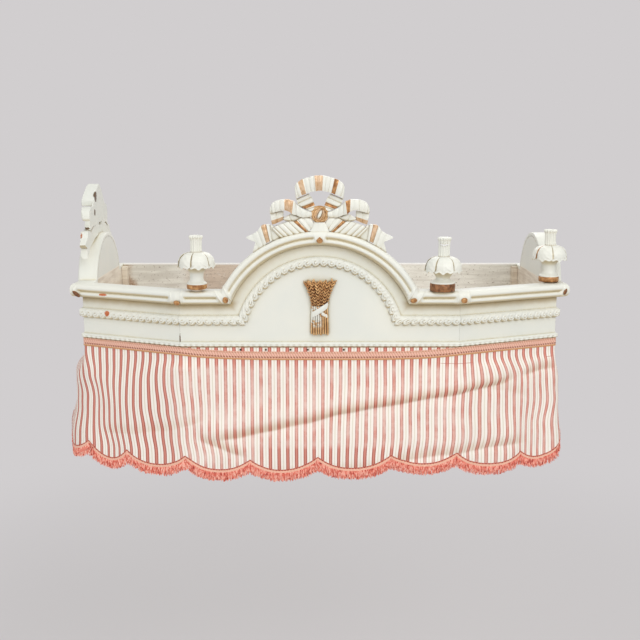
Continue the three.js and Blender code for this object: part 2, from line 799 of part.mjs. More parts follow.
// Height share of the dome from its foot, and share of the way from the waist's radius to the dome's
const domeShares = [[0.08, 0.3], [0, 0.75], [0.1, 0.96], [0.32, 1], [0.62, 0.86], [0.85, 0.56], [0.97, 0.2]];
const droopReachShare = 0.32; // of the dome's height, above which the leaves' edges don't droop

// The turned outline from the peg up: radius, height, and how far the leaves droop there
function finialOutline({ bandRadius, bandHeight, footHeight, footRadius }) {
  const footTop = footHeight + joint;
  const bandTop = footHeight + bandHeight;
  const domeTop = finialHeight - neckLength;
  const domeFoot = domeTop - domeHeight;
  const waist = waistShares.map(([up, out]) => [
    THREE.MathUtils.lerp(waistRadius, bandRadius, out),
    THREE.MathUtils.lerp(bandTop, domeFoot, up),
    0,
  ]);
  const dome = domeShares.map(([up, out]) => [
    THREE.MathUtils.lerp(waistRadius, domeRadius, out),
    THREE.MathUtils.lerp(domeFoot, domeTop, up),
    Math.max(1 - up / droopReachShare, 0),
  ]);
  return [
    [0, -pegLength, 0],
    [pegRadius, -pegLength, 0],
    [pegRadius, joint, 0],
    [footRadius, joint, 0],
    [footRadius, footTop, 0],
    [bandRadius, footTop, 0],
    [bandRadius, bandTop, 0],
    ...waist,
    ...dome,
    [neckRadius, domeTop, 0],
    [neckRadius, finialHeight - neckFlareLength, 0],
    [neckTopRadius, finialHeight, 0],
    [0, finialHeight, 0],
  ];
}

function finial(base) {
  const outline = finialOutline(base);
  const turned = new THREE.LatheGeometry(outline.map(([r, z]) => new THREE.Vector2(r, z)), turnedSegments);
  turned.rotateX(Math.PI / 2);
  const spots = turned.attributes.position;
  const firstDome = outline.length - 4 - domeShares.length;
  for (let k = 0; k < spots.count; k++) {
    const [radius, height, droopShare] = outline[k % outline.length];
    const row = (k % outline.length) - firstDome;
    const onDome = row >= 0 && row < domeShares.length;
    const wave = onDome ? Math.cos(leafCount * Math.atan2(spots.getY(k), spots.getX(k))) : 0;
    const carved = onDome ? 1 + (leafRelief * wave * domeShares[row][1]) / radius : 1;
    const shift = Math.max(height, 0) * base.lean;
    const drop = leafDroop * droopShare * wave;
    spots.setXYZ(k, spots.getX(k) * carved + shift, spots.getY(k) * carved, spots.getZ(k) - drop);
  }
  return turned;
}

const frontFinialX = frontHalfWidth - finialFromFold;
const frontFinialY = -depth - finialForward;
const endFinialX = halfWidth - endFinialInward;
const endFinialY = wingDepth - depth + endFinialBack;
const finials = [
  { name: 'left_finial', x: -frontFinialX, y: frontFinialY, base: leftFinialBase },
  { name: 'right_finial', x: frontFinialX, y: frontFinialY, base: rightFinialBase },
  { name: 'end_finial', x: endFinialX, y: endFinialY, base: endFinialBase },
];

function pegHole({ x, y }) {
  const length = pegLength + joint + cutOverrun;
  const hole = new THREE.CylinderGeometry(pegRadius + joint, pegRadius + joint, length, turnedSegments);
  hole.rotateX(Math.PI / 2);
  hole.translate(x, y, railTop - (pegLength + joint) + length / 2);
  return hole;
}

const [leftFinial, rightFinial, endFinial] = finials;

// Assembly

addPiece('back_board', backBoard(), bareWood);
addPiece('left_back_block', backCornerBlock(-1), bareWood);
addPiece('right_back_block', backCornerBlock(1), bareWood);
addPiece('left_end_glue_block', glueBlock(leftSide, leftWing), bareWood);
addPiece('left_fold_glue_block', glueBlock(leftWing, front), bareWood);
addPiece('right_fold_glue_block', glueBlock(front, rightWing), bareWood);
addPiece('right_end_glue_block', glueBlock(rightWing, rightSide), bareWood);

addPiece('left_side_panel', panel(leftSide), paint);
addPiece('left_wing_panel', panel(leftWing), paint);
addPiece('front_panel', panel(front), paint);
addPiece('right_wing_panel', panel(rightWing), paint);
addPiece('right_side_panel', cutBy(panel(rightSide), [pegHole(endFinial)]), paint);

addPiece('left_side_rail', moulding(leftSide, railSection), paint);
addPiece('left_wing_rail', moulding(leftWing, railSection), paint);
addPiece('front_left_rail', cutBy(moulding(front, railSection, leftOfArch), [pegHole(leftFinial)]), paint);
addPiece('front_arch_rail', moulding(front, railSection, overArch), paint);
addPiece('front_right_rail', cutBy(moulding(front, railSection, rightOfArch), [pegHole(rightFinial)]), paint);
addPiece('right_wing_rail', moulding(rightWing, railSection), paint);
addPiece('right_side_rail', cutBy(moulding(rightSide, railSection), [pegHole(endFinial)]), paint);

addPiece('left_end_tie', cornerTie(leftSide, leftWing), paint);
addPiece('left_fold_tie', cornerTie(leftWing, front), paint);
addPiece('left_foot_tie', footTie(front, -1), paint);
addPiece('crown_tie', crownTie(front), paint);
addPiece('right_foot_tie', footTie(front, 1), paint);
addPiece('right_fold_tie', cornerTie(front, rightWing), paint);
addPiece('right_end_tie', cornerTie(rightWing, rightSide), paint);

// The rope follows the arch on the front, and runs straight along the sides, as the bead does all round.
for (const run of runs) {
  addPiece(`${run.name}_rope`, moulding(run, ropeSection, run === front ? wholeLine : straightLine), paint);
  addPiece(`${run.name}_bead`, moulding(run, beadSection, straightLine), paint);
}

addPiece('front_bow', bow(front), paint);
addPiece('front_bow_knot', knot(front), gilt);
addPiece('left_side_bow', bow(leftSide), paint);
addPiece('left_side_bow_knot', knot(leftSide), gilt);
addPiece('wheat_sheaf', sheaf(), gilt);
addPiece('sheaf_ribbon', sheafRibbon(), paint);

for (const { name, x, y, base } of finials) {
  addPiece(name, finial(base), paint).position.set(x, y, railTop);
}

addPiece('valance', valance(), stripedCloth);
addPiece('gimp', gimp(), braid);
addPiece('fringe', fringe(), coralYarn);

export default part;
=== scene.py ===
import random
from math import atan, atan2, cos, degrees, exp, floor, hypot, pi, radians, sin, sqrt, tan

import bmesh
import bpy
from mathutils import Matrix, Vector, noise


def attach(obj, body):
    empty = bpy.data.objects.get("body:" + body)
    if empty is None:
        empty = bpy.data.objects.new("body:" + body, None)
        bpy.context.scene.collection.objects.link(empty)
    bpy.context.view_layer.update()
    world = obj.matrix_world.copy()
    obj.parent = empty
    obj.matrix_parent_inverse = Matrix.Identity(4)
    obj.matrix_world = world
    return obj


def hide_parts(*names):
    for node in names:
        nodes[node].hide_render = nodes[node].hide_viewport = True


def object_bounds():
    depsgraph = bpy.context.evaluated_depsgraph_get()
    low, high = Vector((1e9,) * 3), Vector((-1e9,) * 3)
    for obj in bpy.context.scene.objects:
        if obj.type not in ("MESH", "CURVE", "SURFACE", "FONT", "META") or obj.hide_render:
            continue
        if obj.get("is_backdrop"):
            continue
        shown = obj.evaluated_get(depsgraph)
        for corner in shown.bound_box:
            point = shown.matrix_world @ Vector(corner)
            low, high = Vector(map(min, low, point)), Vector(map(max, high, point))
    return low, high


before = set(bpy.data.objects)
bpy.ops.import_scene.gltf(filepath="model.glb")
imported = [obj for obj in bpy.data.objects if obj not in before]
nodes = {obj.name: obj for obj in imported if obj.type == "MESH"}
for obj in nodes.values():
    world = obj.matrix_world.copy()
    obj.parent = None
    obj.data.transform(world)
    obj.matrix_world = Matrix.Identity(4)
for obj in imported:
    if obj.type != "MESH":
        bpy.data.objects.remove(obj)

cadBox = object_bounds()
mm = 0.001
random.seed(11)

# Camera, at the photograph's viewing angle

camera = {"place": (0.0008, -2.834, 0.4574), "tiltDown": 10.877, "lens": 52.39, "sensor": 36}

bpy.ops.object.camera_add(location=camera["place"], rotation=(radians(90 - camera["tiltDown"]), 0, 0))
viewer = bpy.context.object
viewer.name = "viewer"
viewer.data.lens = camera["lens"]
viewer.data.sensor_width = camera["sensor"]
bpy.context.scene.camera = viewer
bpy.context.scene.view_settings.view_transform = "Standard"
print("camera placed")

# The crown's plan. A place on a run is u along it, n outward from the panel's face, and z from the rail's top.

crown = {
    "halfWidth": 623.2, "frontHalfWidth": 352.5, "depth": 534, "wingDepth": 116.5,
    "boardHeight": 182, "boardThickness": 26, "railHeight": 35, "gap": 0.3,
    "frontArchRise": 149, "frontArchHalfSpan": 246,
    "sideArchRise": 114, "sideFrontShoulder": 57.5, "sideBackShoulder": 72,
}
railTop = crown["boardHeight"] / 2
gap = crown["gap"]
runNames = ["left_side", "left_wing", "front", "right_wing", "right_side"]


def makeArch(centre, halfSpan, rise):
    radius = (halfSpan**2 + rise**2) / (2 * rise)
    return {"centre": centre, "radius": radius, "centreZ": rise - radius}


def makeRuns():
    wide, narrow, depth = crown["halfWidth"], crown["frontHalfWidth"], crown["depth"]
    foldY = crown["wingDepth"] - depth
    outline = [(-wide, 0), (-wide, foldY), (-narrow, -depth), (narrow, -depth), (wide, foldY), (wide, 0)]
    outline = [Vector(corner) for corner in outline]
    made = []
    for name, start, end in zip(runNames, outline, outline[1:]):
        along = (end - start).normalized()
        made.append({
            "name": name, "start": start, "along": along, "outward": Vector((along.y, -along.x)),
            "length": (end - start).length, "arch": None, "startLean": 0, "endLean": 0,
        })
    for before, after in zip(made, made[1:]):
        lean = tan(before["along"].angle(after["along"]) / 2)
        before["endLean"] = after["startLean"] = lean
    sideHalf = (made[0]["length"] - crown["sideFrontShoulder"] - crown["sideBackShoulder"]) / 2
    fromWall = crown["sideBackShoulder"] + sideHalf
    made[0]["arch"] = makeArch(fromWall, sideHalf, crown["sideArchRise"])
    made[2]["arch"] = makeArch(narrow, crown["frontArchHalfSpan"], crown["frontArchRise"])
    made[4]["arch"] = makeArch(made[4]["length"] - fromWall, sideHalf, crown["sideArchRise"])
    return made


runs = makeRuns()
leftSide, leftWing, front, rightWing, rightSide = runs


def mix(a, b, share):
    return a + (b - a) * share


def shareOf(value, low, high):
    return min(max((value - low) / (high - low), 0), 1)


# The rows of a table before and after a place, and how far it lies between them
def between(rows, spot):
    for low, high in zip(rows, rows[1:]):
        if spot <= high[0]:
            return low, high, shareOf(spot, low[0], high[0])
    return rows[-1], rows[-1], 1


def ease(value, low, high):
    share = shareOf(value, low, high)
    return share * share * (3 - 2 * share)


def around(angle):
    return Vector((cos(angle), sin(angle), 0))


def hill(distance, spread):
    return exp(-((distance / spread) ** 2))


def place(run, u, n, z):
    spot = run["start"] + run["along"] * u + run["outward"] * n
    return Vector((spot.x, spot.y, railTop + z)) * mm


def startU(run, n):
    return -n * run["startLean"] + (gap / 2 if run["startLean"] else 0)


def endU(run, n):
    return run["length"] + n * run["endLean"] - (gap / 2 if run["endLean"] else 0)


def archHalfChord(arch, h):
    return sqrt((arch["radius"] + h) ** 2 - (h - arch["centreZ"]) ** 2)


def archTurn(arch, h):
    return atan2(archHalfChord(arch, h), h - arch["centreZ"])


def onArch(arch, h, angle):
    radius = arch["radius"] + h
    return arch["centre"] + radius * sin(angle), arch["centreZ"] + radius * cos(angle)


# How pieces are made and finished. Points nearer than these are merged, in millimetres.

merging = {"usual": 0.004, "turned": 0.01, "rail": 0.02}


def objectMode():
    bpy.ops.object.mode_set(mode="OBJECT")


def deselectAll():
    if bpy.context.object and bpy.context.object.mode != "OBJECT":
        objectMode()
    bpy.ops.object.select_all(action="DESELECT")


def selectOnly(piece):
    deselectAll()
    piece.select_set(True)
    bpy.context.view_layer.objects.active = piece


def editAll(piece):
    selectOnly(piece)
    bpy.ops.object.mode_set(mode="EDIT")
    bpy.ops.mesh.select_all(action="SELECT")


def applied(piece, kind, **settings):
    selectOnly(piece)
    modifier = piece.modifiers.new(kind.title(), kind)
    for name, value in settings.items():
        setattr(modifier, name, value)
    bpy.ops.object.modifier_apply(modifier=modifier.name)


def mended(piece, distance="usual", fill=False):
    editAll(piece)
    bpy.ops.mesh.remove_doubles(threshold=merging[distance] * mm)
    if fill:
        bpy.ops.mesh.fill_holes(sides=0)
    bpy.ops.mesh.normals_make_consistent(inside=False)
    objectMode()
    return piece


def shapedGrid(columns, rows, pointAt):
    deselectAll()
    bpy.ops.mesh.primitive_grid_add(x_subdivisions=columns, y_subdivisions=rows, size=2)
    grid = bpy.context.object
    for vertex in grid.data.vertices:
        vertex.co = pointAt((vertex.co.x + 1) / 2, (vertex.co.y + 1) / 2)
    return grid


# A tube through closed rings: ringAt gives the points of the ring at a share of the way along
def shapedTube(columns, ringAt):
    rings = [ringAt(column / columns) for column in range(columns + 1)]
    count = len(rings[0])
    tube = shapedGrid(columns, count, lambda u, v: rings[round(u * columns)][round(v * count) % count])
    return mended(tube, fill=True)


def joined(pieces):
    selectOnly(pieces[0])
    for piece in pieces[1:]:
        piece.select_set(True)
    bpy.ops.object.join()
    return pieces[0]


# Copies of a small shape, each with its own mesh and at its own matrix, joined
def repeated(source, matrices):
    copies = []
    for matrix in matrices:
        copied = source.copy()
        copied.data = source.data.copy()
        copied.data.transform(matrix)
        bpy.context.scene.collection.objects.link(copied)
        copies.append(copied)
    bpy.data.objects.remove(source)
    return joined(copies)


# Small unevenness of hand carving, along the normals
def carved(piece, depth, size, seed):
    offset = Vector((seed, seed * 2, seed * 3))
    normals = [vertex.normal.copy() for vertex in piece.data.vertices]
    for vertex, normal in zip(piece.data.vertices, normals):
        vertex.co += normal * noise.noise(vertex.co / (size * mm) + offset) * depth * mm
    return piece


def runMatrix(run):
    along, inward = run["along"], -run["outward"]
    turn = Matrix(((along.x, inward.x, 0), (along.y, inward.y, 0), (0, 0, 1))).to_4x4()
    return Matrix.Translation(Vector((run["start"].x, run["start"].y, railTop)) * mm) @ turn


def intoRun(piece, run):
    piece.matrix_world = runMatrix(run)
    selectOnly(piece)
    bpy.ops.object.transform_apply()
    return piece


def finished(piece, name, materials, stands=(), body="crown", angle=60):
    piece.name = name
    piece.data.name = name
    for index, material in enumerate(materials):
        if index < len(piece.data.materials):
            piece.data.materials[index] = material
        else:
            piece.data.materials.append(material)
    selectOnly(piece)
    bpy.ops.object.transform_apply()
    bpy.ops.object.shade_smooth_by_angle(angle=radians(angle))
    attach(piece, body)
    if stands:
        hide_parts(*stands)
    return piece


# Materials. The node helpers add to the tree that was opened last, and what several materials share is a group.

opened = {}


def newGroup(name, inputs, outputs):
    group = bpy.data.node_groups.new(name, "ShaderNodeTree")
    for label, kind, value in inputs:
        socket = group.interface.new_socket(name=label, in_out="INPUT", socket_type=kind)
        socket.default_value = value
    for label, kind in outputs:
        group.interface.new_socket(name=label, in_out="OUTPUT", socket_type=kind)
    opened["tree"] = group
    return group, group.nodes.new("NodeGroupInput").outputs, group.nodes.new("NodeGroupOutput").inputs


def link(output, socket):
    opened["tree"].links.new(output, socket)


def addNode(kind, values=None, **settings):
    node = opened["tree"].nodes.new(kind)
    for name, value in settings.items():
        setattr(node, name, value)
    for name, value in (values or {}).items():
        if isinstance(value, bpy.types.NodeSocket):
            link(value, node.inputs[name])
        else:
            node.inputs[name].default_value = value
    return node


def mathNode(operation, first, second=0.5, clamp=False):
    return addNode("ShaderNodeMath", {0: first, 1: second}, operation=operation, use_clamp=clamp).outputs[0]


def ramp(value, low, high, toLow=0.0, toHigh=1.0, kind="SMOOTHSTEP"):
    values = {"Value": value, "From Min": low, "From Max": high, "To Min": toLow, "To Max": toHigh}
    return addNode("ShaderNodeMapRange", values, interpolation_type=kind).outputs["Result"]


def noisy(vector, scale, detail=3.0, roughness=0.5):
    values = {"Vector": vector, "Scale": scale, "Detail": detail, "Roughness": roughness}
    return addNode("ShaderNodeTexNoise", values).outputs["Fac"]


def mixColour(share, first, second, blend="MIX"):
    values = {0: share, 6: first, 7: second}
    return addNode("ShaderNodeMix", values, data_type="RGBA", blend_type=blend).outputs[2]


def times(first, second):
    return mathNode("MULTIPLY", first, second)


def plus(first, second):
    return mathNode("ADD", first, second)


def minus(first, second, clamp=False):
    return mathNode("SUBTRACT", first, second, clamp)


def vectorMath(operation, first, second=(0, 0, 0)):
    return addNode("ShaderNodeVectorMath", {0: first, 1: second}, operation=operation).outputs


def partsOf(spot):
    return addNode("ShaderNodeSeparateXYZ", {0: spot}).outputs


def stretched(spot, scale):
    return addNode("ShaderNodeMapping", {"Vector": spot, "Scale": scale}).outputs[0]


def uvMap(name):
    return addNode("ShaderNodeUVMap", uv_map=name).outputs[0]


def useGroup(group, values):
    return addNode("ShaderNodeGroup", values, node_tree=group).outputs


colour, number, vector = "NodeSocketColor", "NodeSocketFloat", "NodeSocketVector"
# Reach and strength of the painted shade in corners and crevices
cornerShading = {"reach": 0.02, "start": 0.9, "end": 0.35, "patches": 90.0}
chipping = {"size": (0.01, 0.01, 0.01), "ragged": 320.0, "raggedness": 0.9, "edge": (1.45, 1.3)}
boardGrain = {
    "light": (0.5, 0.4, 0.3, 1), "dark": (0.2, 0.15, 0.1, 1), "stretch": (6, 6, 70), "lines": 1.6,
    "blotches": 9.0, "pores": 210.0, "lineShare": 0.6, "blotchShare": 0.4, "poreShare": 0.5,
}


# Painted shade, with some dirt, in corners and crevices: stronger where ambient occlusion finds the surface deep,
# and broken up by noise
def makeCornerShade():
    inputs = [("Vector", vector, (0, 0, 0))]
    for name in ("reach", "start", "end"):
        inputs.append((name.title(), number, cornerShading[name]))
    group, into, out = newGroup("paintedCornerShade", inputs, [("Mask", number)])
    shade = addNode("ShaderNodeAmbientOcclusion", {"Distance": into["Reach"]}, samples=8)
    depth = ramp(shade.outputs["AO"], into["Start"], into["End"])
    patches = noisy(into["Vector"], cornerShading["patches"])
    broken = ramp(patches, 0.25, 0.7, 0.65, 1.0)
    link(times(depth, broken), out["Mask"])
    return group


# A chip in the paint: a ragged spot of a given size at a given place
def makeChip():
    inputs = [("Vector", vector, (0, 0, 0)), ("Place", vector, (0, 0, 0)), ("Size", vector, chipping["size"])]
    group, into, out = newGroup("paintChip", inputs, [("Mask", number)])
    away = vectorMath("SUBTRACT", into["Vector"], into["Place"])[0]
    scaled = vectorMath("DIVIDE", away, into["Size"])[0]
    length = vectorMath("LENGTH", scaled)["Value"]
    ragged = noisy(into["Vector"], chipping["ragged"], 2.0)
    edge = plus(length, times(ragged, chipping["raggedness"]))
    link(ramp(edge, *chipping["edge"]), out["Mask"])
    return group


# Bare boards: long grain along one axis with darker pores
def makeGrain():
    inputs = [("Vector", vector, (0, 0, 0))]
    for name in ("light", "dark"):
        inputs.append((name.title(), colour, boardGrain[name]))
    group, into, out = newGroup("boardGrain", inputs, [("Color", colour), ("Height", number)])
    spot = into["Vector"]
    lines = noisy(stretched(spot, boardGrain["stretch"]), boardGrain["lines"], 5.0, 0.6)
    blotches = noisy(spot, boardGrain["blotches"], 4.0)
    pores = ramp(noisy(spot, boardGrain["pores"], 2.0), 0.3, 0.42, 1.0, 0.0)
    lines = times(lines, boardGrain["lineShare"])
    both = plus(lines, times(blotches, boardGrain["blotchShare"]))
    tone = mathNode("MAXIMUM", ramp(both, 0.62, 0.38), times(pores, boardGrain["poreShare"]))
    link(mixColour(tone, into["Light"], into["Dark"]), out["Color"])
    link(both, out["Height"])
    return group


# A plain weave on a UV map in metres
def makeWeave():
    inputs = [("Vector", vector, (0, 0, 0)), ("Thread", number, 0.0006)]
    group, into, out = newGroup("plainWeave", inputs, [("Height", number)])
    parts = partsOf(into["Vector"])
    waves = []
    for axis in ("X", "Y"):
        turns = mathNode("DIVIDE", parts[axis], into["Thread"])
        waves.append(mathNode("SINE", times(turns, pi)))
    link(ramp(times(*waves), -1.0, 1.0), out["Height"])
    return group


cornerShadeGroup = makeCornerShade()
chipGroup = makeChip()
grainGroup = makeGrain()
weaveGroup = makeWeave()


# The mask of painted shade in corners and crevices
def cornerShadeMask(spot, reach, start=cornerShading["start"], end=cornerShading["end"]):
    return useGroup(cornerShadeGroup, {"Vector": spot, "Reach": reach, "Start": start, "End": end})["Mask"]


def grainOf(spot, light, dark):
    return useGroup(grainGroup, {"Vector": spot, "Light": light, "Dark": dark})


def newMaterial(name, roughness, metallic=0.0):
    material = bpy.data.materials.new(name)
    material.use_nodes = True
    opened["material"], opened["tree"] = material, material.node_tree
    shader = material.node_tree.nodes["Principled BSDF"]
    shader.inputs["Roughness"].default_value = roughness
    shader.inputs["Metallic"].default_value = metallic
    return shader, addNode("ShaderNodeTexCoord").outputs["Object"]


# Gives a shader its colour, and a bump whose height is in metres
def finishPaint(shader, base, height, strength, distance, sheen=0):
    bump = addNode("ShaderNodeBump", {"Height": height, "Strength": strength, "Distance": distance})
    link(bump.outputs[0], shader.inputs["Normal"])
    link(base, shader.inputs["Base Color"])
    shader.inputs["Sheen Weight"].default_value = sheen
    return opened["material"]


# Ivory paint, with lengths and places in metres. Three of its tints are painted shade: a warm brown in corners and
# crevices, with some dirt, a yellow tint in deeper recesses, and a warm tint on faces that look down.
paint = {
    "ivory": (0.80, 0.80, 0.725, 1), "cool": (0.755, 0.768, 0.71, 1), "paintedShade": (0.42, 0.30, 0.15, 1),
    "oldRed": (0.45, 0.17, 0.09, 1), "broadShade": (0.90, 0.83, 0.66, 1), "undersideShade": (0.82, 0.69, 0.47, 1),
    "primer": (0.56, 0.16, 0.055, 1), "underwood": (0.13, 0.075, 0.035, 1), "roughness": 0.42,
    "mottles": 7.0, "strokeStretch": (30, 30, 240), "strokes": 3.0, "strokeHeight": 0.0006,
    "broadShadeEdge": (0.95, 0.5), "cracks": [
        {"place": (-0.3525, -0.5343, -0.034), "size": (0.0017, 0.005, 0.0155), "under": "underwood"},
        {"place": (-0.3525, -0.5343, 0.021), "size": (0.0014, 0.005, 0.0055), "under": "underwood"},
    ],
    "chips": [
        {"place": (-0.5595, -0.4733, 0.0695), "size": (0.015, 0.009, 0.0036), "under": "primer"},
        {"place": (-0.551, -0.4574, 0.0175), "size": (0.008, 0.009, 0.0075), "under": "primer"},
    ],
}
# The rail's painted shadow, with dust, that darkens a panel's front face just under its rail, less so under the
# arch
railShadow = {
    "colour": (0.62, 0.505, 0.34, 1), "reach": 0.027, "fullWithin": 0.004, "underArch": 0.3,
    "archBlend": 0.012, "frontFace": (-0.004, -0.001), "patches": 30.0, "wander": 0.008,
}
# A board's inner face, bare below a wavering line at the rail's top
bareInside = {
    "light": (0.86, 0.79, 0.67, 1), "dark": (0.62, 0.53, 0.42, 1), "primed": (0.85, 0.8, 0.7, 1),
    "bareEdge": (0.003, 0.002), "primedEdge": (0.006, 0.005), "waves": 25.0, "wander": 0.004, "skin": 0.001,
}


# How far a point lies out from a panel's front face, inwards being negative
def outFromPanel(spot, run):
    outward = run["outward"]
    facing = vectorMath("DOT_PRODUCT", spot, (outward.x, outward.y, 0))["Value"]
    return minus(facing, run["start"].dot(outward) * mm)


# How deep a point on a panel's front face lies in the rail's painted shadow and dust
def underRail(spot, run):
    height = partsOf(spot)["Z"]
    onFront = ramp(outFromPanel(spot, run), *railShadow["frontFace"])
    railFoot = (railTop - crown["railHeight"]) * mm
    below = minus(railFoot, height)
    if run["arch"]:
        arch = run["arch"]
        away = vectorMath("DISTANCE", spot, place(run, arch["centre"], 0, arch["centreZ"]))["Value"]
        inside = minus((arch["radius"] - crown["railHeight"]) * mm, away)
        below = mathNode("MAXIMUM", below, inside)
        archTop = railFoot + railShadow["archBlend"]
        onFront = times(onFront, ramp(height, railFoot, archTop, 1.0, railShadow["underArch"]))
    uneven = times(noisy(spot, railShadow["patches"]), railShadow["wander"])
    inShade = ramp(plus(below, uneven), railShadow["reach"], railShadow["fullWithin"])
    return times(inShade, onFront)


def insideBoard(spot, run, base):
    innerFace = bareInside["skin"] - crown["boardThickness"] * mm
    inside = mathNode("LESS_THAN", outFromPanel(spot, run), innerFace)
    waves = times(noisy(spot, bareInside["waves"]), bareInside["wander"])
    height = minus(plus(partsOf(spot)["Z"], waves), railTop * mm)
    primed = times(ramp(height, *bareInside["primedEdge"]), inside)
    bare = times(ramp(height, *bareInside["bareEdge"]), inside)
    base = mixColour(primed, base, bareInside["primed"])
    return mixColour(bare, base, grainOf(spot, bareInside["light"], bareInside["dark"])["Color"])


# panelRun is the run whose board is painted: its front face gets the rail's painted shadow and dust under the rail,
# and its inner face is bare
def ivoryPaint(name, chips=(), panelRun=None, shadeReach=0.006, broadShadeReach=0.0, cornerShadeStrength=0.85):
    shader, spot = newMaterial(name, paint["roughness"])
    mottled = ramp(noisy(spot, paint["mottles"], 4.0), 0.35, 0.7)
    base = mixColour(mottled, paint["ivory"], paint["cool"])
    # Painted shade: a yellow tint in deeper recesses, from ambient occlusion of wide reach
    if broadShadeReach:
        broadShade = cornerShadeMask(spot, broadShadeReach, *paint["broadShadeEdge"])
        base = mixColour(broadShade, base, paint["broadShade"], "MULTIPLY")
    # Painted shadow and dust under the rail
    if panelRun:
        base = mixColour(underRail(spot, panelRun), base, railShadow["colour"], "MULTIPLY")
    # Painted shade on faces that look down
    normal = partsOf(addNode("ShaderNodeNewGeometry").outputs["Normal"])
    undersideShade = ramp(normal["Z"], -0.1, -0.75)
    base = mixColour(undersideShade, base, paint["undersideShade"], "MULTIPLY")
    # Painted shade, with some dirt, darkens corners and crevices
    base = mixColour(times(cornerShadeMask(spot, shadeReach), cornerShadeStrength), base, paint["paintedShade"], "MULTIPLY")
    for chip in chips:
        values = {"Vector": spot, "Place": chip["place"], "Size": chip["size"]}
        base = mixColour(useGroup(chipGroup, values)["Mask"], base, paint[chip["under"]])
    if panelRun:
        base = insideBoard(spot, panelRun, base)
    strokes = noisy(stretched(spot, paint["strokeStretch"]), paint["strokes"], 3.0)
    smooth, rough = paint["roughness"] - 0.06, paint["roughness"] + 0.1
    link(ramp(strokes, 0.3, 0.7, smooth, rough), shader.inputs["Roughness"])
    return finishPaint(shader, base, strokes, 0.12, paint["strokeHeight"])


# Copper gold paint: each tone is its light and its dark colour
gilding = {
    "roughness": 0.4, "metallic": 0.35, "mottles": 110.0, "patchHeight": 0.0004, "shine": (0.34, 0.5),
    "recessShade": (0.30, 0.2, 0.12, 1), "recessShadeEdge": (0.85, 0.3), "rubbing": 60.0, "rubbedFrom": 0.62,
    "rubbedTo": 0.66, "wornEdge": 0.008,
}
goldTones = {
    "copper": ((0.62, 0.335, 0.135, 1), (0.29, 0.12, 0.035, 1)),
    "deep": ((0.29, 0.12, 0.035, 1), (0.12, 0.05, 0.02, 1)),
    "faded": ((0.74, 0.53, 0.35, 1), (0.58, 0.37, 0.20, 1)),
    "bronze": ((0.36, 0.165, 0.065, 1), (0.15, 0.06, 0.025, 1)),
    "olive": ((0.50, 0.43, 0.27, 1), (0.33, 0.27, 0.16, 1)),
    "knot": ((0.80, 0.54, 0.30, 1), (0.50, 0.27, 0.10, 1)),
    "wheat": ((0.74, 0.44, 0.19, 1), (0.38, 0.165, 0.05, 1)),
    "rubbed": ((0.80, 0.53, 0.27, 1), (0.55, 0.30, 0.12, 1)),
}


# wear rubs the gold down to the ivory, only above and left of wornFrom where that is given
def copperGold(name, tone, reach=0.008, wear=0.0, wornFrom=None):
    shader, spot = newMaterial(name, gilding["roughness"], gilding["metallic"])
    mottled = ramp(noisy(spot, gilding["mottles"], 4.0), 0.3, 0.68)
    base = mixColour(mottled, *goldTones[tone])
    # Painted shade, with some dirt, darkens the gold's recesses
    base = mixColour(cornerShadeMask(spot, reach, *gilding["recessShadeEdge"]), base, gilding["recessShade"], "MULTIPLY")
    if wear:
        rubbing = noisy(spot, gilding["rubbing"], 5.0, 0.7)
        rubbed = ramp(rubbing, gilding["rubbedFrom"] - wear, gilding["rubbedTo"] - wear)
        if wornFrom:
            right, foot = wornFrom
            parts = partsOf(spot)
            rubbed = times(rubbed, ramp(parts["Z"], foot, foot + gilding["wornEdge"]))
            rubbed = times(rubbed, ramp(parts["X"], right, right - gilding["wornEdge"]))
        base = mixColour(rubbed, base, paint["ivory"])
    link(ramp(mottled, 0.0, 1.0, *gilding["shine"]), shader.inputs["Roughness"])
    return finishPaint(shader, base, mottled, 0.2, gilding["patchHeight"])


# The back board: grey old wood, stained tan at its left end and in its middle, with lengths and places in metres
stain = {
    "roughness": 0.75, "light": (0.87, 0.865, 0.79, 1), "dark": (0.68, 0.66, 0.585, 1), "grainHeight": 0.0008,
    "tanLight": (0.67, 0.54, 0.42, 1), "tanDark": (0.43, 0.31, 0.22, 1), "leftEnd": (-0.50, -0.535),
    "middleLeft": (-0.36, -0.28), "middleRight": (0.3, 0.22), "middleStrength": 0.8, "waves": 14.0,
    "wander": 0.12, "splashes": 70.0, "splash": (0.80, 0.78, 0.73, 1), "splashStrength": 0.45, "specks": 130.0,
    "speck": (0.22, 0.16, 0.10, 1), "speckStrength": 0.7, "rot": 190.0, "rotted": (0.33, 0.20, 0.10, 1),
    "rotStrength": 0.75, "topEdge": (0.86, 0.84, 0.8, 1), "topFrom": 0.004, "topTo": 0.002,
}


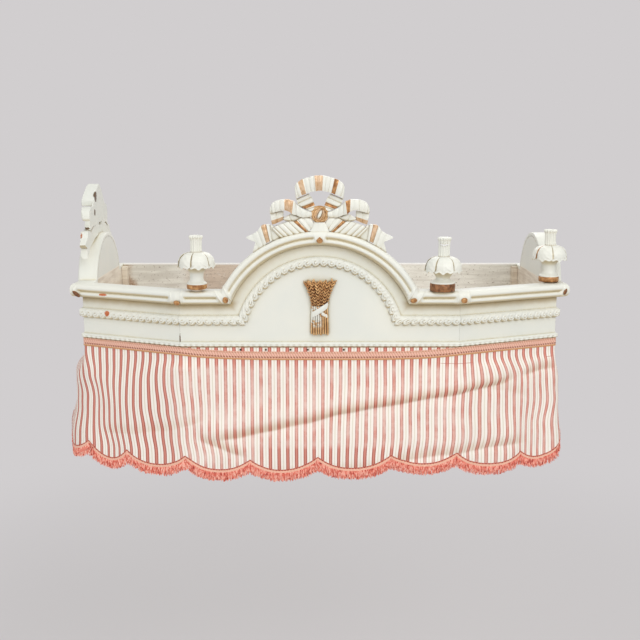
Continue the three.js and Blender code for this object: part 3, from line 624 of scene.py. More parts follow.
def bareBoard(name):
    shader, spot = newMaterial(name, stain["roughness"])
    grain = grainOf(spot, stain["light"], stain["dark"])
    tan = grainOf(spot, stain["tanLight"], stain["tanDark"])
    parts = partsOf(spot)
    across = plus(parts["X"], times(noisy(spot, stain["waves"]), stain["wander"]))
    leftEnd = ramp(across, *stain["leftEnd"])
    middle = times(ramp(across, *stain["middleLeft"]), ramp(across, *stain["middleRight"]))
    stained = mathNode("MAXIMUM", leftEnd, times(middle, stain["middleStrength"]))
    base = mixColour(stained, grain["Color"], tan["Color"])
    splashes = ramp(noisy(spot, stain["splashes"], 5.0, 0.7), 0.6, 0.66)
    base = mixColour(times(splashes, stain["splashStrength"]), base, stain["splash"])
    specks = ramp(noisy(spot, stain["specks"], 5.0, 0.75), 0.41, 0.36)
    base = mixColour(times(specks, stain["speckStrength"]), base, stain["speck"])
    rotted = ramp(noisy(spot, stain["rot"], 4.0, 0.7), 0.5, 0.42)
    rotted = times(rotted, times(leftEnd, stain["rotStrength"]))
    base = mixColour(rotted, base, stain["rotted"])
    topEdge = ramp(parts["Z"], railTop * mm - stain["topFrom"], railTop * mm - stain["topTo"])
    base = mixColour(topEdge, base, stain["topEdge"])
    return finishPaint(shader, base, grain["Height"], 0.5, stain["grainHeight"])


blocks = {"roughness": 0.7, "light": (0.82, 0.75, 0.63, 1), "dark": (0.62, 0.53, 0.41, 1), "grainHeight": 0.0006}


def blockWood(name):
    shader, spot = newMaterial(name, blocks["roughness"])
    grain = grainOf(spot, blocks["light"], blocks["dark"])
    return finishPaint(shader, grain["Color"], grain["Height"], 0.4, blocks["grainHeight"])


mouldingPaint = ivoryPaint("ivoryMoulding", paint["chips"][:1], shadeReach=0.0055, broadShadeReach=0.012, cornerShadeStrength=0.52)
carvingPaint = ivoryPaint("ivoryCarving")
stripPaint = ivoryPaint("ivoryStrip", paint["chips"][1:], shadeReach=0.0026, cornerShadeStrength=0.38)
gold = copperGold("copperGold", "copper")
darkBronze = copperGold("darkBronze", "bronze")
oliveLine = copperGold("oliveLine", "olive")
fadedGold = copperGold("fadedCopperGold", "faded")
knotGold = copperGold("knotGold", "knot")
# A darker copy of the copper gold: painted shade for the sheaf's core, seen in the gaps between stalks and ears
sheafShadeGold = copperGold("darkCopperGold", "deep")
earGold = copperGold("wheatGold", "wheat", reach=0.006)
stalkGold = copperGold("rubbedCopperGold", "rubbed", reach=0.006, wear=0.16, wornFrom=(0.008, -0.004))
boardWood = bareBoard("stainedBoard")
paleWood = blockWood("paleBlock")
print("paints ready")


def dress(node, material):
    nodes[node].data.materials.clear()
    nodes[node].data.materials.append(material)


for run in runs:
    panelPaint = ivoryPaint("ivory_" + run["name"], paint["cracks"], run, shadeReach=0.007, broadShadeReach=0.05)
    dress(run["name"] + "_panel", panelPaint)
dress("back_board", boardWood)
for side in ("left", "right"):
    for block in ("back_block", "end_glue_block", "fold_glue_block"):
        dress(side + "_" + block, paleWood)
print("boards dressed")

# Cap rail: a flange over the boards and two reeds in front, extruded on the straights and spun over the arches

rail = {
    "reach": 27, "height": crown["railHeight"], "flange": 10, "upperReed": 8.5, "lowerReed": 7,
    "lowerSetback": 2.5,
    "cove": 6, "coveCurve": [(6, 3), (2, 1.2), (0, 0)], "innerEdge": [(0, 1.5), (0.5, 0.4), (1.5, 0)],
    "straightStep": 16, "archStep": 4, "pegRadius": 5.3, "pegDepth": 22.3, "overrun": 1, "unevenness": 0.35,
}
upperReedN = rail["reach"] - rail["upperReed"]
lowerReedN = rail["reach"] - rail["lowerSetback"] - rail["lowerReed"]
lowerReedH = -2 * rail["upperReed"] - rail["lowerReed"]


def arcPoints(centreN, centreH, radius, fromDegrees, toDegrees, steps):
    points = []
    for step in range(steps + 1):
        angle = radians(mix(fromDegrees, toDegrees, step / steps))
        points.append((centreN + radius * cos(angle), centreH + radius * sin(angle)))
    return points


def reeds(growth, steps=9):
    upper = arcPoints(upperReedN, -rail["upperReed"], rail["upperReed"] + growth, 90, -70, steps)
    lower = arcPoints(lowerReedN, lowerReedH, rail["lowerReed"] + growth, 60, -90, steps)
    return upper + lower


def railSection():
    foot, back = -rail["height"], -crown["boardThickness"]
    cove = [(rail["cove"] + n, foot + h) for n, h in rail["coveCurve"]]
    seat = [(gap, foot), (gap, -rail["flange"]), (back, -rail["flange"])]
    inner = [(back + n, -h) for n, h in rail["innerEdge"]]
    return reeds(0) + cove + seat + inner


def sectionFace(section):
    deselectAll()
    bpy.ops.mesh.primitive_circle_add(vertices=len(section), radius=1, fill_type="NGON")
    face = bpy.context.object
    for vertex, (n, h) in zip(face.data.vertices, section):
        vertex.co = Vector((0, -n, h)) * mm
    return face


# A straight length. startOf and endOf give where it starts and ends, at each n and h of its section.
def straightRail(section, length, startOf, endOf):
    piece = sectionFace(section)
    editAll(piece)
    steps = max(round(length / rail["straightStep"]), 1)
    for _ in range(steps):
        bpy.ops.mesh.extrude_region_move(TRANSFORM_OT_translate={"value": (length / steps * mm, 0, 0)})
    objectMode()
    for vertex in piece.data.vertices:
        n, h, share = -vertex.co.y / mm, vertex.co.z / mm, vertex.co.x / (length * mm)
        vertex.co.x = mix(startOf(n, h), endOf(n, h), share) * mm
    return piece


def archedRail(section, arch, endGap):
    piece = sectionFace(section)
    turn = archTurn(arch, 0)
    for vertex in piece.data.vertices:
        u, z = onArch(arch, vertex.co.z / mm, -turn)
        vertex.co.x, vertex.co.z = u * mm, z * mm
    editAll(piece)
    steps = round(degrees(2 * turn) / rail["archStep"])
    centre = (arch["centre"] * mm, 0, arch["centreZ"] * mm)
    bpy.ops.mesh.spin(steps=steps, angle=2 * turn, center=centre, axis=(0, -1, 0))
    objectMode()
    for vertex in piece.data.vertices:
        across, up = vertex.co.x / mm - arch["centre"], vertex.co.z / mm - arch["centreZ"]
        h = hypot(across, up) - arch["radius"]
        ownTurn = archTurn(arch, h) - endGap / (arch["radius"] + h)
        u, z = onArch(arch, h, atan2(across, up) / turn * ownTurn)
        vertex.co.x, vertex.co.z = u * mm, z * mm
    return piece


def beforeArch(run, section, endGap):
    arch = run["arch"]

    def endOf(n, h):
        return arch["centre"] - archHalfChord(arch, h) - endGap

    return straightRail(section, arch["centre"] - archHalfChord(arch, 0), lambda n, h: startU(run, n), endOf)


def afterArch(run, section, endGap):
    arch = run["arch"]

    def startOf(n, h):
        return arch["centre"] + archHalfChord(arch, h) + endGap

    length = run["length"] - arch["centre"] - archHalfChord(arch, 0)
    return straightRail(section, length, startOf, lambda n, h: endU(run, n))


def wholeRail(run, section):
    if not run["arch"]:
        return straightRail(section, run["length"], lambda n, h: startU(run, n), lambda n, h: endU(run, n))
    lengths = [beforeArch(run, section, 0), archedRail(section, run["arch"], 0), afterArch(run, section, 0)]
    whole = joined(lengths)
    shell = bmesh.new()
    shell.from_mesh(whole.data)
    caps = [face for face in shell.faces if len(face.verts) == len(section)]
    bmesh.ops.delete(shell, geom=caps, context="FACES_ONLY")
    shell.to_mesh(whole.data)
    shell.free()
    return whole


def drilled(piece, x, y):
    deselectAll()
    length = rail["pegDepth"] + rail["overrun"]
    middle = Vector((x, y, railTop - rail["pegDepth"] + length / 2)) * mm
    radius = rail["pegRadius"] * mm
    bpy.ops.mesh.primitive_cylinder_add(vertices=24, radius=radius, depth=length * mm, location=middle)
    drill = bpy.context.object
    applied(piece, "BOOLEAN", operation="DIFFERENCE", object=drill, solver="EXACT")
    bpy.data.objects.remove(drill)


finialSetback = {"fromFold": 47.5, "pastFront": 11, "fromEnd": 17.2, "pastFold": 26.5}
frontFinialX = crown["frontHalfWidth"] - finialSetback["fromFold"]
frontFinialY = -crown["depth"] - finialSetback["pastFront"]
endFinialY = crown["wingDepth"] - crown["depth"] + finialSetback["pastFold"]
finialPlaces = {
    "left_finial": (-frontFinialX, frontFinialY),
    "right_finial": (frontFinialX, frontFinialY),
    "end_finial": (crown["halfWidth"] - finialSetback["fromEnd"], endFinialY),
}


def makeRails():
    section = railSection()
    lengths = {
        "left_side_rail": (leftSide, wholeRail(leftSide, section), None),
        "left_wing_rail": (leftWing, wholeRail(leftWing, section), None),
        "front_left_rail": (front, beforeArch(front, section, gap / 2), "left_finial"),
        "front_arch_rail": (front, archedRail(section, front["arch"], gap / 2), None),
        "front_right_rail": (front, afterArch(front, section, gap / 2), "right_finial"),
        "right_wing_rail": (rightWing, wholeRail(rightWing, section), None),
        "right_side_rail": (rightSide, wholeRail(rightSide, section), "end_finial"),
    }
    for seed, (node, (run, piece, peg)) in enumerate(lengths.items()):
        mended(piece, "rail", fill=True)
        carved(piece, rail["unevenness"], 45, seed)
        intoRun(piece, run)
        if peg:
            drilled(piece, *finialPlaces[peg])
        finished(piece, node.replace("rail", "cap_rail"), [mouldingPaint], [node], angle=50)


makeRails()
print("cap rail made")

# Ribbon ties: where the reeds meet at a corner they run into one smooth knuckle with a gilded nub

tie = {
    "halfLength": 24, "blend": 9, "collarAt": 13.5, "collarWidth": 1.7, "collarRise": 1.7, "rise": 0.5,
    "middleN": 15, "reach": 13.6, "middleH": -15.8, "halfHeight": 16.4, "crownHalfLength": 19, "columns": 44,
    "nubDrop": 21.3, "nubHalfWidth": 8, "nubHalfHeight": 7, "nubReach": 4.8, "endEase": 2, "sunk": 0.1,
    "back": [(8, -26), (8, -6)], "unevenness": 0.3, "grain": 20, "nubGrain": 4,
}
plainNub = {"shift": 0, "up": 0, "wide": 1, "tall": 1, "tilt": 0}
endNubs = {
    "left_end_tie": {"run": leftWing, "shift": 20, "up": -2.5, "wide": 1.65, "tall": 0.72, "tilt": -33},
    "right_end_tie": {"run": rightWing, "shift": -14, "up": 3, "wide": 0.55, "tall": 1.25, "tilt": -25},
    "left_fold_tie": {"run": leftWing, "shift": 4, "up": -6, "wide": 1.05, "tall": 0.85, "tilt": -8},
    "left_foot_tie": {"run": front, "shift": 0, "up": 1, "wide": 0.85, "tall": 1.15, "tilt": 12},
    "right_foot_tie": {"run": front, "shift": 0, "up": 0, "wide": 1.08, "tall": 0.85, "tilt": 14},
}
bronzeNubs = ("left_end_tie", "right_end_tie")


def tieOutline(away, halfLength, collars):
    inside = halfLength - away
    blend = ease(inside, 0, tie["blend"])
    collar = tie["collarRise"] * hill(away - tie["collarAt"], tie["collarWidth"]) if collars else 0
    under = reeds(tie["rise"] * ease(inside, 0, tie["endEase"]) - tie["sunk"])
    points = []
    for index, (n, h) in enumerate(under):
        angle = radians(mix(90, -90, index / (len(under) - 1)))
        smoothN = tie["middleN"] + (tie["reach"] + collar) * abs(cos(angle)) ** 0.72
        smoothH = tie["middleH"] + (tie["halfHeight"] + collar * 0.6) * sin(angle)
        points.append((mix(n, smoothN, blend), mix(h, smoothH, blend)))
    return points + tie["back"]


def makeNub(node, spot, along, outward, own, teardrop):
    deselectAll()
    bpy.ops.mesh.primitive_uv_sphere_add(segments=24, ring_count=14, radius=1)
    nub = bpy.context.object
    for vertex in nub.data.vertices:
        across, out, up = vertex.co.x, vertex.co.y, vertex.co.z
        dent = 1 - 0.16 * hill(hypot(across, up), 0.35)
        if teardrop and up > 0:
            across *= (1 - up) ** 0.55
            up *= 1.25
        across *= tie["nubHalfWidth"] * own["wide"]
        up *= tie["nubHalfHeight"] * own["tall"]
        vertex.co = Vector((across, out * tie["nubReach"] * dent, up)) * mm
    turn = Matrix((along, outward, Vector((0, 0, 1)))).transposed().to_4x4()
    tilt = Matrix.Rotation(radians(-own["tilt"]), 4, "Y")
    nub.matrix_world = Matrix.Translation(spot) @ turn @ tilt
    carved(nub, tie["unevenness"], tie["nubGrain"], 5)
    selectOnly(nub)
    bpy.ops.object.transform_apply()
    mended(nub)
    finished(nub, node + "_nub", [darkBronze if node in bronzeNubs else gold])


def makeTie(node, spotAt, halfLength=None, collars=True, teardrop=False):
    halfLength = halfLength or tie["halfLength"]
    columns = tie["columns"]

    def ringAt(share):
        distance = mix(-halfLength, halfLength, share)
        return [spotAt(distance, n, h) for n, h in tieOutline(abs(distance), halfLength, collars)]

    band = shapedTube(columns, ringAt)
    carved(band, tie["unevenness"], tie["grain"], len(node))
    finished(band, node.replace("tie", "knuckle"), [mouldingPaint], [node])
    nose = tie["middleN"] + tie["reach"] * 0.98
    own = endNubs.get(node, plainNub)
    height = own["up"] - tie["nubDrop"]
    spot, behind = spotAt(own["shift"], nose, height), spotAt(own["shift"], 0, height)
    outward = Vector((spot.x - behind.x, spot.y - behind.y, 0)).normalized()
    if node in endNubs:
        outward = own["run"]["outward"].to_3d()
    makeNub(node, spot, Vector((-outward.y, outward.x, 0)), outward, own, teardrop)


def cornerSpot(before, after):
    def spotAt(distance, n, h):
        if distance < 0:
            return place(before, before["length"] + n * before["endLean"] + distance, n, h)
        return place(after, -n * after["startLean"] + distance, n, h)
    return spotAt


def footSpot(run, side):
    arch = run["arch"]

    def spotAt(distance, n, h):
        if side * distance > 0:
            return place(run, arch["centre"] + side * archHalfChord(arch, h) + distance, n, h)
        turn = archTurn(arch, h) - abs(distance) / arch["radius"]
        u, z = onArch(arch, h, side * turn)
        return place(run, u, n, z)
    return spotAt


def crownSpot(run):
    arch = run["arch"]

    def spotAt(distance, n, h):
        u, z = onArch(arch, h, distance / arch["radius"])
        return place(run, u, n, z)
    return spotAt


makeTie("left_end_tie", cornerSpot(leftSide, leftWing))
makeTie("left_fold_tie", cornerSpot(leftWing, front))
makeTie("left_foot_tie", footSpot(front, -1))
makeTie("crown_tie", crownSpot(front), tie["crownHalfLength"], False, True)
makeTie("right_foot_tie", footSpot(front, 1))
makeTie("right_fold_tie", cornerSpot(front, rightWing))
makeTie("right_end_tie", cornerSpot(rightWing, rightSide))
print("ties made")

# Rope and bead mouldings, carved in relief along their lines

rope = {
    "drop": 76.5, "height": 25, "reach": 11, "pitch": 20, "columns": 20, "rows": 22, "sunk": 0.6,
    "lobeRadius": 10.3, "lobeDown": 2.4, "eyeRadius": 4.0, "eyeDepth": 2.8, "eyeWidth": 1.0,
    "strandAcross": 12, "strandUp": 9, "strandWidth": 5.4, "rollUp": 7.2, "rollHalf": 5, "rollReach": 7.7,
    "webUp": 1.6, "webHalf": 8.6, "webReach": 8.8, "undercut": 0.5, "unevenness": 0.5, "grain": 9,
}
bead = {
    "drop": 138.4, "height": 13, "reach": 8, "pitch": 14.4, "columns": 14, "rows": 14, "sunk": 0.6,
    "pearlHalf": 7.1, "pearlRise": 4.8, "pearlDown": 1.6, "rollUp": 2.6, "rollHalf": 3.8, "rollReach": 6.8,
    "webHalf": 6.4, "webFoot": (-5.5, -2.5), "webReach": 5.76, "unevenness": 0.25, "grain": 9,
}


def rounded(square, power=0.5):
    return max(1 - square, 0) ** power


# Rope: lobes with a ringed eye, each running up and over the next under a smooth upper roll
def ropeRelief(x, y):
    up = y * rope["height"] / 2
    high = up + rope["lobeDown"]
    strandAcross, strandUp = rope["strandAcross"], rope["strandUp"]
    best = -rope["sunk"]
    for lobe in (-1, 0, 1):
        across = (x - floor(x) - 0.5 - lobe) * rope["pitch"]
        away = hypot(across, high)
        disc = rope["reach"] * rounded((away / rope["lobeRadius"]) ** 3.4)
        if disc > 0:
            disc -= rope["eyeDepth"] * hill(away - rope["eyeRadius"], rope["eyeWidth"])
        along = (across * strandAcross + high * strandUp) / (strandAcross**2 + strandUp**2)
        along = min(max(along, 0.35), 1)
        beside = hypot(across - along * strandAcross, high - along * strandUp)
        strand = rope["reach"] * mix(1.0, 0.8, along) * rounded((beside / rope["strandWidth"]) ** 2.4)
        best = max(best, disc, strand)
    roll = rope["rollReach"] * rounded(((up - rope["rollUp"]) / rope["rollHalf"]) ** 2)
    web = rope["webReach"] * rounded(((up - rope["webUp"]) / rope["webHalf"]) ** 4)
    return max(best, roll - rope["undercut"], web - rope["undercut"])


# Pearls: long beads under a smooth roll
def beadRelief(x, y):
    up = y * bead["height"] / 2
    across = (x - floor(x) - 0.5) * bead["pitch"] / bead["pearlHalf"]
    pearl = bead["reach"] * rounded(across**2 + ((up + bead["pearlDown"]) / bead["pearlRise"]) ** 2)
    roll = bead["rollReach"] * rounded(((up - bead["rollUp"]) / bead["rollHalf"]) ** 2)
    web = bead["webReach"] * ease(up, *bead["webFoot"]) * rounded((up / bead["webHalf"]) ** 4)
    return max(pearl, roll, web, 0) or -bead["sunk"]


def lineLength(run, h, followArch):
    if not followArch:
        return run["length"], None
    arch = run["arch"]
    straight = arch["centre"] - archHalfChord(arch, h)
    curve = 2 * archTurn(arch, h) * (arch["radius"] + h)
    whole = 2 * straight + curve
    return whole, (straight / whole, 1 - straight / whole)


def linePoint(run, n, h, along, splits):
    start, end = startU(run, n), endU(run, n)
    if not splits:
        return mix(start, end, along), h
    arch = run["arch"]
    half = archHalfChord(arch, h)
    if along < splits[0]:
        return mix(start, arch["centre"] - half, along / splits[0]), h
    if along > splits[1]:
        return mix(arch["centre"] + half, end, (along - splits[1]) / (1 - splits[1])), h
    angle = archTurn(arch, h) * (2 * (along - splits[0]) / (splits[1] - splits[0]) - 1)
    return onArch(arch, h, angle)


def reliefStrip(run, size, relief, followArch):
    length, splits = lineLength(run, -size["drop"], followArch)
    repeats = round(length / size["pitch"])
    rows = size["rows"]

    def ringAt(share):
        points = []
        for row in range(rows + 1):
            y = 2 * row / rows - 1
            n = gap + relief(share * repeats, y)
            u, z = linePoint(run, n, -size["drop"] + y * size["height"] / 2, share, splits)
            points.append(place(run, u, n, z))
        return points

    return shapedTube(repeats * size["columns"], ringAt)


for seed, run in enumerate(runs):
    mouldings = [
        ("rope", "_rope_carving", rope, ropeRelief, run is front),
        ("bead", "_pearl_row", bead, beadRelief, False),
    ]
    for node, ending, size, relief, followArch in mouldings:
        strip = reliefStrip(run, size, relief, followArch)
        carved(strip, size["unevenness"], size["grain"], seed)
        finished(strip, run["name"] + ending, [stripPaint], [run["name"] + "_" + node], angle=70)
print("rope and beads carved")

# Ribbon bows. Each strip is a row of stations across the ribbon, for the left half: one edge's x and z, the other
# edge's x and z, and how far forward, in millimetres from the knot's middle.

bow = {
    "back": {"front": -4, "left_side": -8}, "thickness": {"front": 10, "left_side": 10},
    "crimpDepth": 2.3, "crimpPower": 0.6, "scallop": 0.035, "arch": 2, "columns": 12, "rows": 8,
    "knotOverRail": 41, "topCrimps": 13, "fanCrimps": 5, "unevenness": 0.5, "grain": 16, "cornerShading": 0.008,
}
topLoop = [
    (-61, 63, -58, 37, 8), (-58, 74, -49, 44, 12), (-44, 84, -35, 50, 15),
    (-28, 89, -22, 55, 17), (-14, 93, -10.5, 57, 18), (0, 94, 0, 58.5, 18),
]
# The left side's bow hangs lower towards the front, is shorter towards the wall, and is carved on a thin board
sideTopLoop = [
    (-40, 63, -36, 37, 8), (-30, 80, -24, 50, 14), (-12, 90, -8, 55, 17), (0, 94, 0, 58, 18),
    (18, 87, 14, 52, 20), (38, 75, 34, 45, 21), (56, 62, 52, 38, 22), (66, 52, 64, 37, 22),
]
sideBoard = [
    (-118, 14, -112, -24, -6), (-92, 32, -88, -16, -5), (-58, 58, -58, -14, -5), (-32, 80, -32, -10, -4),
    (0, 88, 0, -12, -4), (34, 74, 34, -12, -4), (62, 50, 62, -16, -5), (90, 34, 90, -18, -5),
    (114, 26, 112, -26, -6),
]
wallSideShare = 0.73
leftStrips = {
    "topReturn": {"crimps": 4, "rows": [
        (-57, 37, -27, 50, 1), (-51, 22, -18, 38, 2), (-36, 13.5, -12, 22, 4), (-15, 6.5, -4, 15, 7)]},
    "sideLoop": {"crimps": 9, "rows": [
        (-15, 5, -18, -6, 7), (-28, 8, -31, -7.5, 8), (-43, 15, -43, -7, 10), (-55, 24, -53, -3, 12),
        (-63, 31, -67, 1.5, 15), (-76, 36, -74.5, 7.5, 16), (-88, 36, -88, 11, 16), (-102, 34.5, -101, 8, 14),
        (-114, 29, -111, 5, 12), (-120.5, 19, -117, 3, 9), (-123, 7.5, -120.5, 1, 5)]},
    "turnedUnder": {"crimps": 2, "rim": 0.68, "rows": [
        (-122, 1, -117, -25, 3), (-107, 5, -104, -21, 0), (-89.5, 8, -88.5, -14, -2)]},
    "sideReturn": {"crimps": 3, "rows": [
        (-90, -10, -87, -15, 1), (-78, -3, -73, -17, 2), (-68, 1, -61, -16, 2), (-47, -6, -44, -12, 3),
        (-23, -7, -23, -13, 4)]},
    "innerTail": {"crimps": 8, "rows": [
        (-20, -10, -12, -23, 6), (-45.5, -10, -24.5, -39, 9), (-60, -17, -30.5, -43, 11),
        (-76, -17.5, -47, -46, 12),
        (-94, -23, -68, -50, 12), (-110, -30, -84, -55, 10), (-117, -36, -95.5, -59, 6)]},
    "tailTurn": {"crimps": 1, "rows": [
        (-117, -25.5, -95.5, -59, 2), (-123, -29.5, -107, -62, 0), (-127, -27, -119, -66, 2)]},
    "outerTail": {"crimps": 5, "notch": 0.2, "rows": [
        (-123, -25.5, -117, -64, 6), (-132, -25.5, -123, -66, 9), (-144, -28.5, -131, -70, 10),
        (-153, -41, -138, -80, 8), (-166, -49, -150, -87, 6), (-182, -57, -165, -95, 4)]},
}
fan = [(-14, -19, 14, -19, 9), (-23, -43, 24, -43, 12)]


def mirrored(rows):
    return [(-ax, az, -bx, bz, out) for ax, az, bx, bz, out in rows]


# A smooth row between stations
def stationAt(rows, share):
    spot = share * (len(rows) - 1)
    index = min(int(spot), len(rows) - 2)
    t = spot - index
    before, start = rows[max(index - 1, 0)], rows[index]
    end, after = rows[index + 1], rows[min(index + 2, len(rows) - 1)]
    values = []
    for a, b, c, d in zip(before, start, end, after):
        bend, swing = 2 * a - 5 * b + 4 * c - d, 3 * b - a - 3 * c + d
        values.append(0.5 * (2 * b + (c - a) * t + bend * t**2 + swing * t**3))
    return values


def faceShares(piece):
    layer = piece.data.uv_layers.active.data
    for face in piece.data.polygons:
        spots = [layer[loop].uv for loop in face.loop_indices]
        yield face, sum(spot.x for spot in spots) / len(spots), sum(spot.y for spot in spots) / len(spots)


def ribbonStrip(side, rows, crimps, giltSpans=(), rim=None, notch=0, lengthwise=False):
    back, thickness = bow["back"][side], bow["thickness"][side]

    def pointAt(u, v):
        u *= 1 - notch * ease(u, 0.5, 1) * (1 - abs(2 * v - 1))
        ax, az, bx, bz, out = stationAt(rows, u)
        crimp = abs(sin(pi * crimps * (v if lengthwise else u))) ** bow["crimpPower"]
        across = 0.5 + (v - 0.5) * (1 + bow["scallop"] * (crimp - 0.5))
        n = back + thickness + out + bow["crimpDepth"] * (crimp - 0.6)
        n += bow["arch"] * (1 - (2 * v - 1) ** 2)
        return Vector((mix(ax, bx, across), -n, mix(az, bz, across))) * mm

    strip = shapedGrid((len(rows) - 1) * bow["columns"], bow["rows"], pointAt)
    for material in (carvingPaint, gold, fadedGold):
        strip.data.materials.append(material)
    for face, u, v in faceShares(strip):
        for low, high, finish in giltSpans:
            if low <= u <= high:
                face.material_index = finish
        if rim and v > rim:
            face.material_index = 2
    editAll(strip)
    bpy.ops.mesh.extrude_region_move(TRANSFORM_OT_translate={"value": (0, thickness * mm, 0)})
    bpy.ops.transform.resize(value=(1, 0, 1), center_override=(0, -back * mm, 0))
    objectMode()
    return mended(strip)


# The knot: a coil of ribbon round a slanted almond, whose middle is painted cream and ringed with faded gold as
# painted highlight. Each ring is its height, place and width.
knot = {
    "radius": 22, "base": 4, "dome": 9.3, "domeShare": 0.96, "tilt": 24, "almondLong": 12, "almondWide": 4.8,
    "almondRings": [(3.4, 1.55, 0.36), (1.2, 0.45, 0.3), (-1.6, 1.0, 0.14)], "sideRoll": (2.6, 0.78, 0.09),
    "edgeRings": [(-1.2, 0.66, 0.035), (-1.0, 0.9, 0.03)], "edgeShare": 0.08, "rings": 30, "spokes": 96,
    "highlightWithin": 1.0, "softHighlightWithin": 1.9, "softHighlightShare": 0.66,
}


def almondAt(x, z):
    tilt = radians(knot["tilt"])
    along = x * sin(tilt) + z * cos(tilt)
    across = x * cos(tilt) - z * sin(tilt)
    return hypot(along / knot["almondLong"], across / knot["almondWide"])


def raised(rings, spot):
    return sum(height * hill(spot - middle, width) for height, middle, width in rings)


def makeKnot(side):
    base = bow["back"][side] + bow["thickness"][side] + knot["base"]

    def pointAt(u, v):
        turn = 2 * pi * u
        reach = knot["radius"] * v * (1 + 0.02 * sin(3 * turn))
        x, z = reach * cos(turn), reach * sin(turn)
        dome = knot["dome"] * sqrt(max(1 - (knot["domeShare"] * v) ** 2, 0))
        beside = abs(cos(turn - radians(knot["tilt"])))
        rings = raised(knot["almondRings"], almondAt(x, z)) + raised(knot["edgeRings"], v)
        rings += beside * raised([knot["sideRoll"]], v)
        return Vector((x, -(base + dome + rings * ease(1 - v, 0, knot["edgeShare"])), z)) * mm

    rosette = shapedGrid(knot["spokes"], knot["rings"], pointAt)
    # Painted highlight on the almond: cream in its middle, faded gold round it
    for face, _, v in faceShares(rosette):
        almond = almondAt(face.center.x / mm, face.center.z / mm)
        if almond < knot["highlightWithin"]:
            face.material_index = 1
        elif almond < knot["softHighlightWithin"] and v < knot["softHighlightShare"]:
            face.material_index = 2
    return mended(rosette, "turned", fill=True)


# Dark marks on the left side bow: the first two are painted shade standing in for the carving's slots, the others
# are chips through the paint
bowMarks = {
    "left_side_bow": [
        {"place": (-0.615, -0.261, 0.309), "size": (0.006, 0.014, 0.017), "under": "underwood"},
        {"place": (-0.615, -0.2766, 0.2654), "size": (0.006, 0.009, 0.0095), "under": "underwood"},
        {"place": (-0.626, -0.345, 0.2266), "size": (0.011, 0.03, 0.004), "under": "underwood"},
        {"place": (-0.6323, -0.345, 0.2083), "size": (0.0035, 0.03, 0.012), "under": "oldRed"},
    ],
}
# Where the front bow's strips are gilt: from and to as shares of the strip, and which gold
giltSpans = {
    "topLoop": [(0.405, 0.56, 2), (0.14, 0.215, 2), (0.75, 0.82, 1)], "leftSideLoop": [(0.41, 0.58, 2)],
    "rightSideLoop": [(0.4, 0.49, 1)], "topReturn": [(0.5, 0.68, 1)], "innerTail": [(0.28, 0.375, 1)],
    "outerTail": [(0.18, 0.4, 2)],
}


def makeBow(run, node):
    side = run["name"]
    gilt = giltSpans if run is front else {}
    top = topLoop + mirrored(topLoop[:-1])[::-1] if run is front else sideTopLoop
    strips = [ribbonStrip(side, top, bow["topCrimps"], gilt.get("topLoop", ()))]
    strips.append(ribbonStrip(side, fan, bow["fanCrimps"], lengthwise=True))
    if run is leftSide:
        strips.append(ribbonStrip(side, sideBoard, 0))
    for name, strip in leftStrips.items():
        options = {"rim": strip.get("rim") if run is front else None, "notch": strip.get("notch", 0)}
        for half, rows in (("left", strip["rows"]), ("right", mirrored(strip["rows"]))):
            spans = gilt.get(name, gilt.get(half + name[0].upper() + name[1:], ()))
            strips.append(ribbonStrip(side, rows, strip["crimps"], spans, **options))
    ribbon = joined(strips)
    if run is leftSide:
        for vertex in ribbon.data.vertices:
            if vertex.co.x < 0:
                vertex.co.x *= wallSideShare
    rosette = makeKnot(side)
    arch = run["arch"]
    middle = Vector((arch["centre"], 0, arch["centreZ"] + arch["radius"] + bow["knotOverRail"])) * mm
    for piece in (ribbon, rosette):
        piece.data.transform(Matrix.Translation(middle))
        intoRun(piece, run)
    chips = bowMarks.get(node)
    cream = ivoryPaint("ivory_" + node, chips, shadeReach=bow["cornerShading"]) if chips else carvingPaint
    carved(ribbon, bow["unevenness"], bow["grain"], 3)
    finished(ribbon, node.replace("bow", "ribbon_bow"), [cream, gold, fadedGold], [node], angle=42)
    knotPaints = [knotGold, carvingPaint, fadedGold]
    finished(rosette, node.replace("bow", "bow_rosette"), knotPaints, [node + "_knot"], angle=50)


makeBow(front, "front_bow")
makeBow(leftSide, "left_side_bow")
print("bows carved")

# Wheat sheaf

sheaf = {
    "top": 27, "height": 139, "reach": 12, "ears": 6, "earRows": 9, "earSpread": 34, "grainShift": 2.9,
    "grainLength": 13, "grainWidth": 4.1, "fullWidth": 60, "grainWide": 62, "spreadChange": 9,
    "earLift": (1.05, 0.8),
    "earSpan": (0.5, 0.95), "tipSpan": (0.95, 0.985), "coreSpan": (0.02, 0.95), "coreSteps": 12, "stalks": 8,
    "stalkTop": 0.52, "stalkRadius": 2.5, "stalkSides": 10, "ribbonThickness": 2.6, "ribbonRise": 0.9,
    "ribbonFold": 0.35, "ribbonSteps": 4,
}
sheafStations = [
    (0, 47, 0.8), (0.2, 46, 0.85), (0.36, 44, 0.85), (0.5, 42.5, 0.85), (0.62, 45, 0.9), (0.74, 53, 0.95),
    (0.85, 64, 1), (0.93, 74.5, 0.95), (1, 86, 0.7),
]
ribbonBands = [
    {"rise": 27, "width": 15, "out": 1.3, "middle": 0.45, "from": -0.99, "to": 0.99},
    {"rise": -26, "width": 9, "out": 1.12, "middle": 0.42, "from": 0.2, "to": 0.95},
]


def sheafWidth(share):
    (_, lowWidth, lowReach), (_, highWidth, highReach), part = between(sheafStations, share)
    return mix(lowWidth, highWidth, part), mix(lowReach, highReach, part) * sheaf["reach"]


def sheafSpot(share, across, out):
    width, reach = sheafWidth(min(max(share, 0), 1))
    z = sheaf["top"] - sheaf["height"] * (1 - share)
    n = gap + reach * sqrt(max(1 - (across * 0.96) ** 2, 0)) * out
    return place(front, front["length"] / 2 + across * width / 2, n, z)


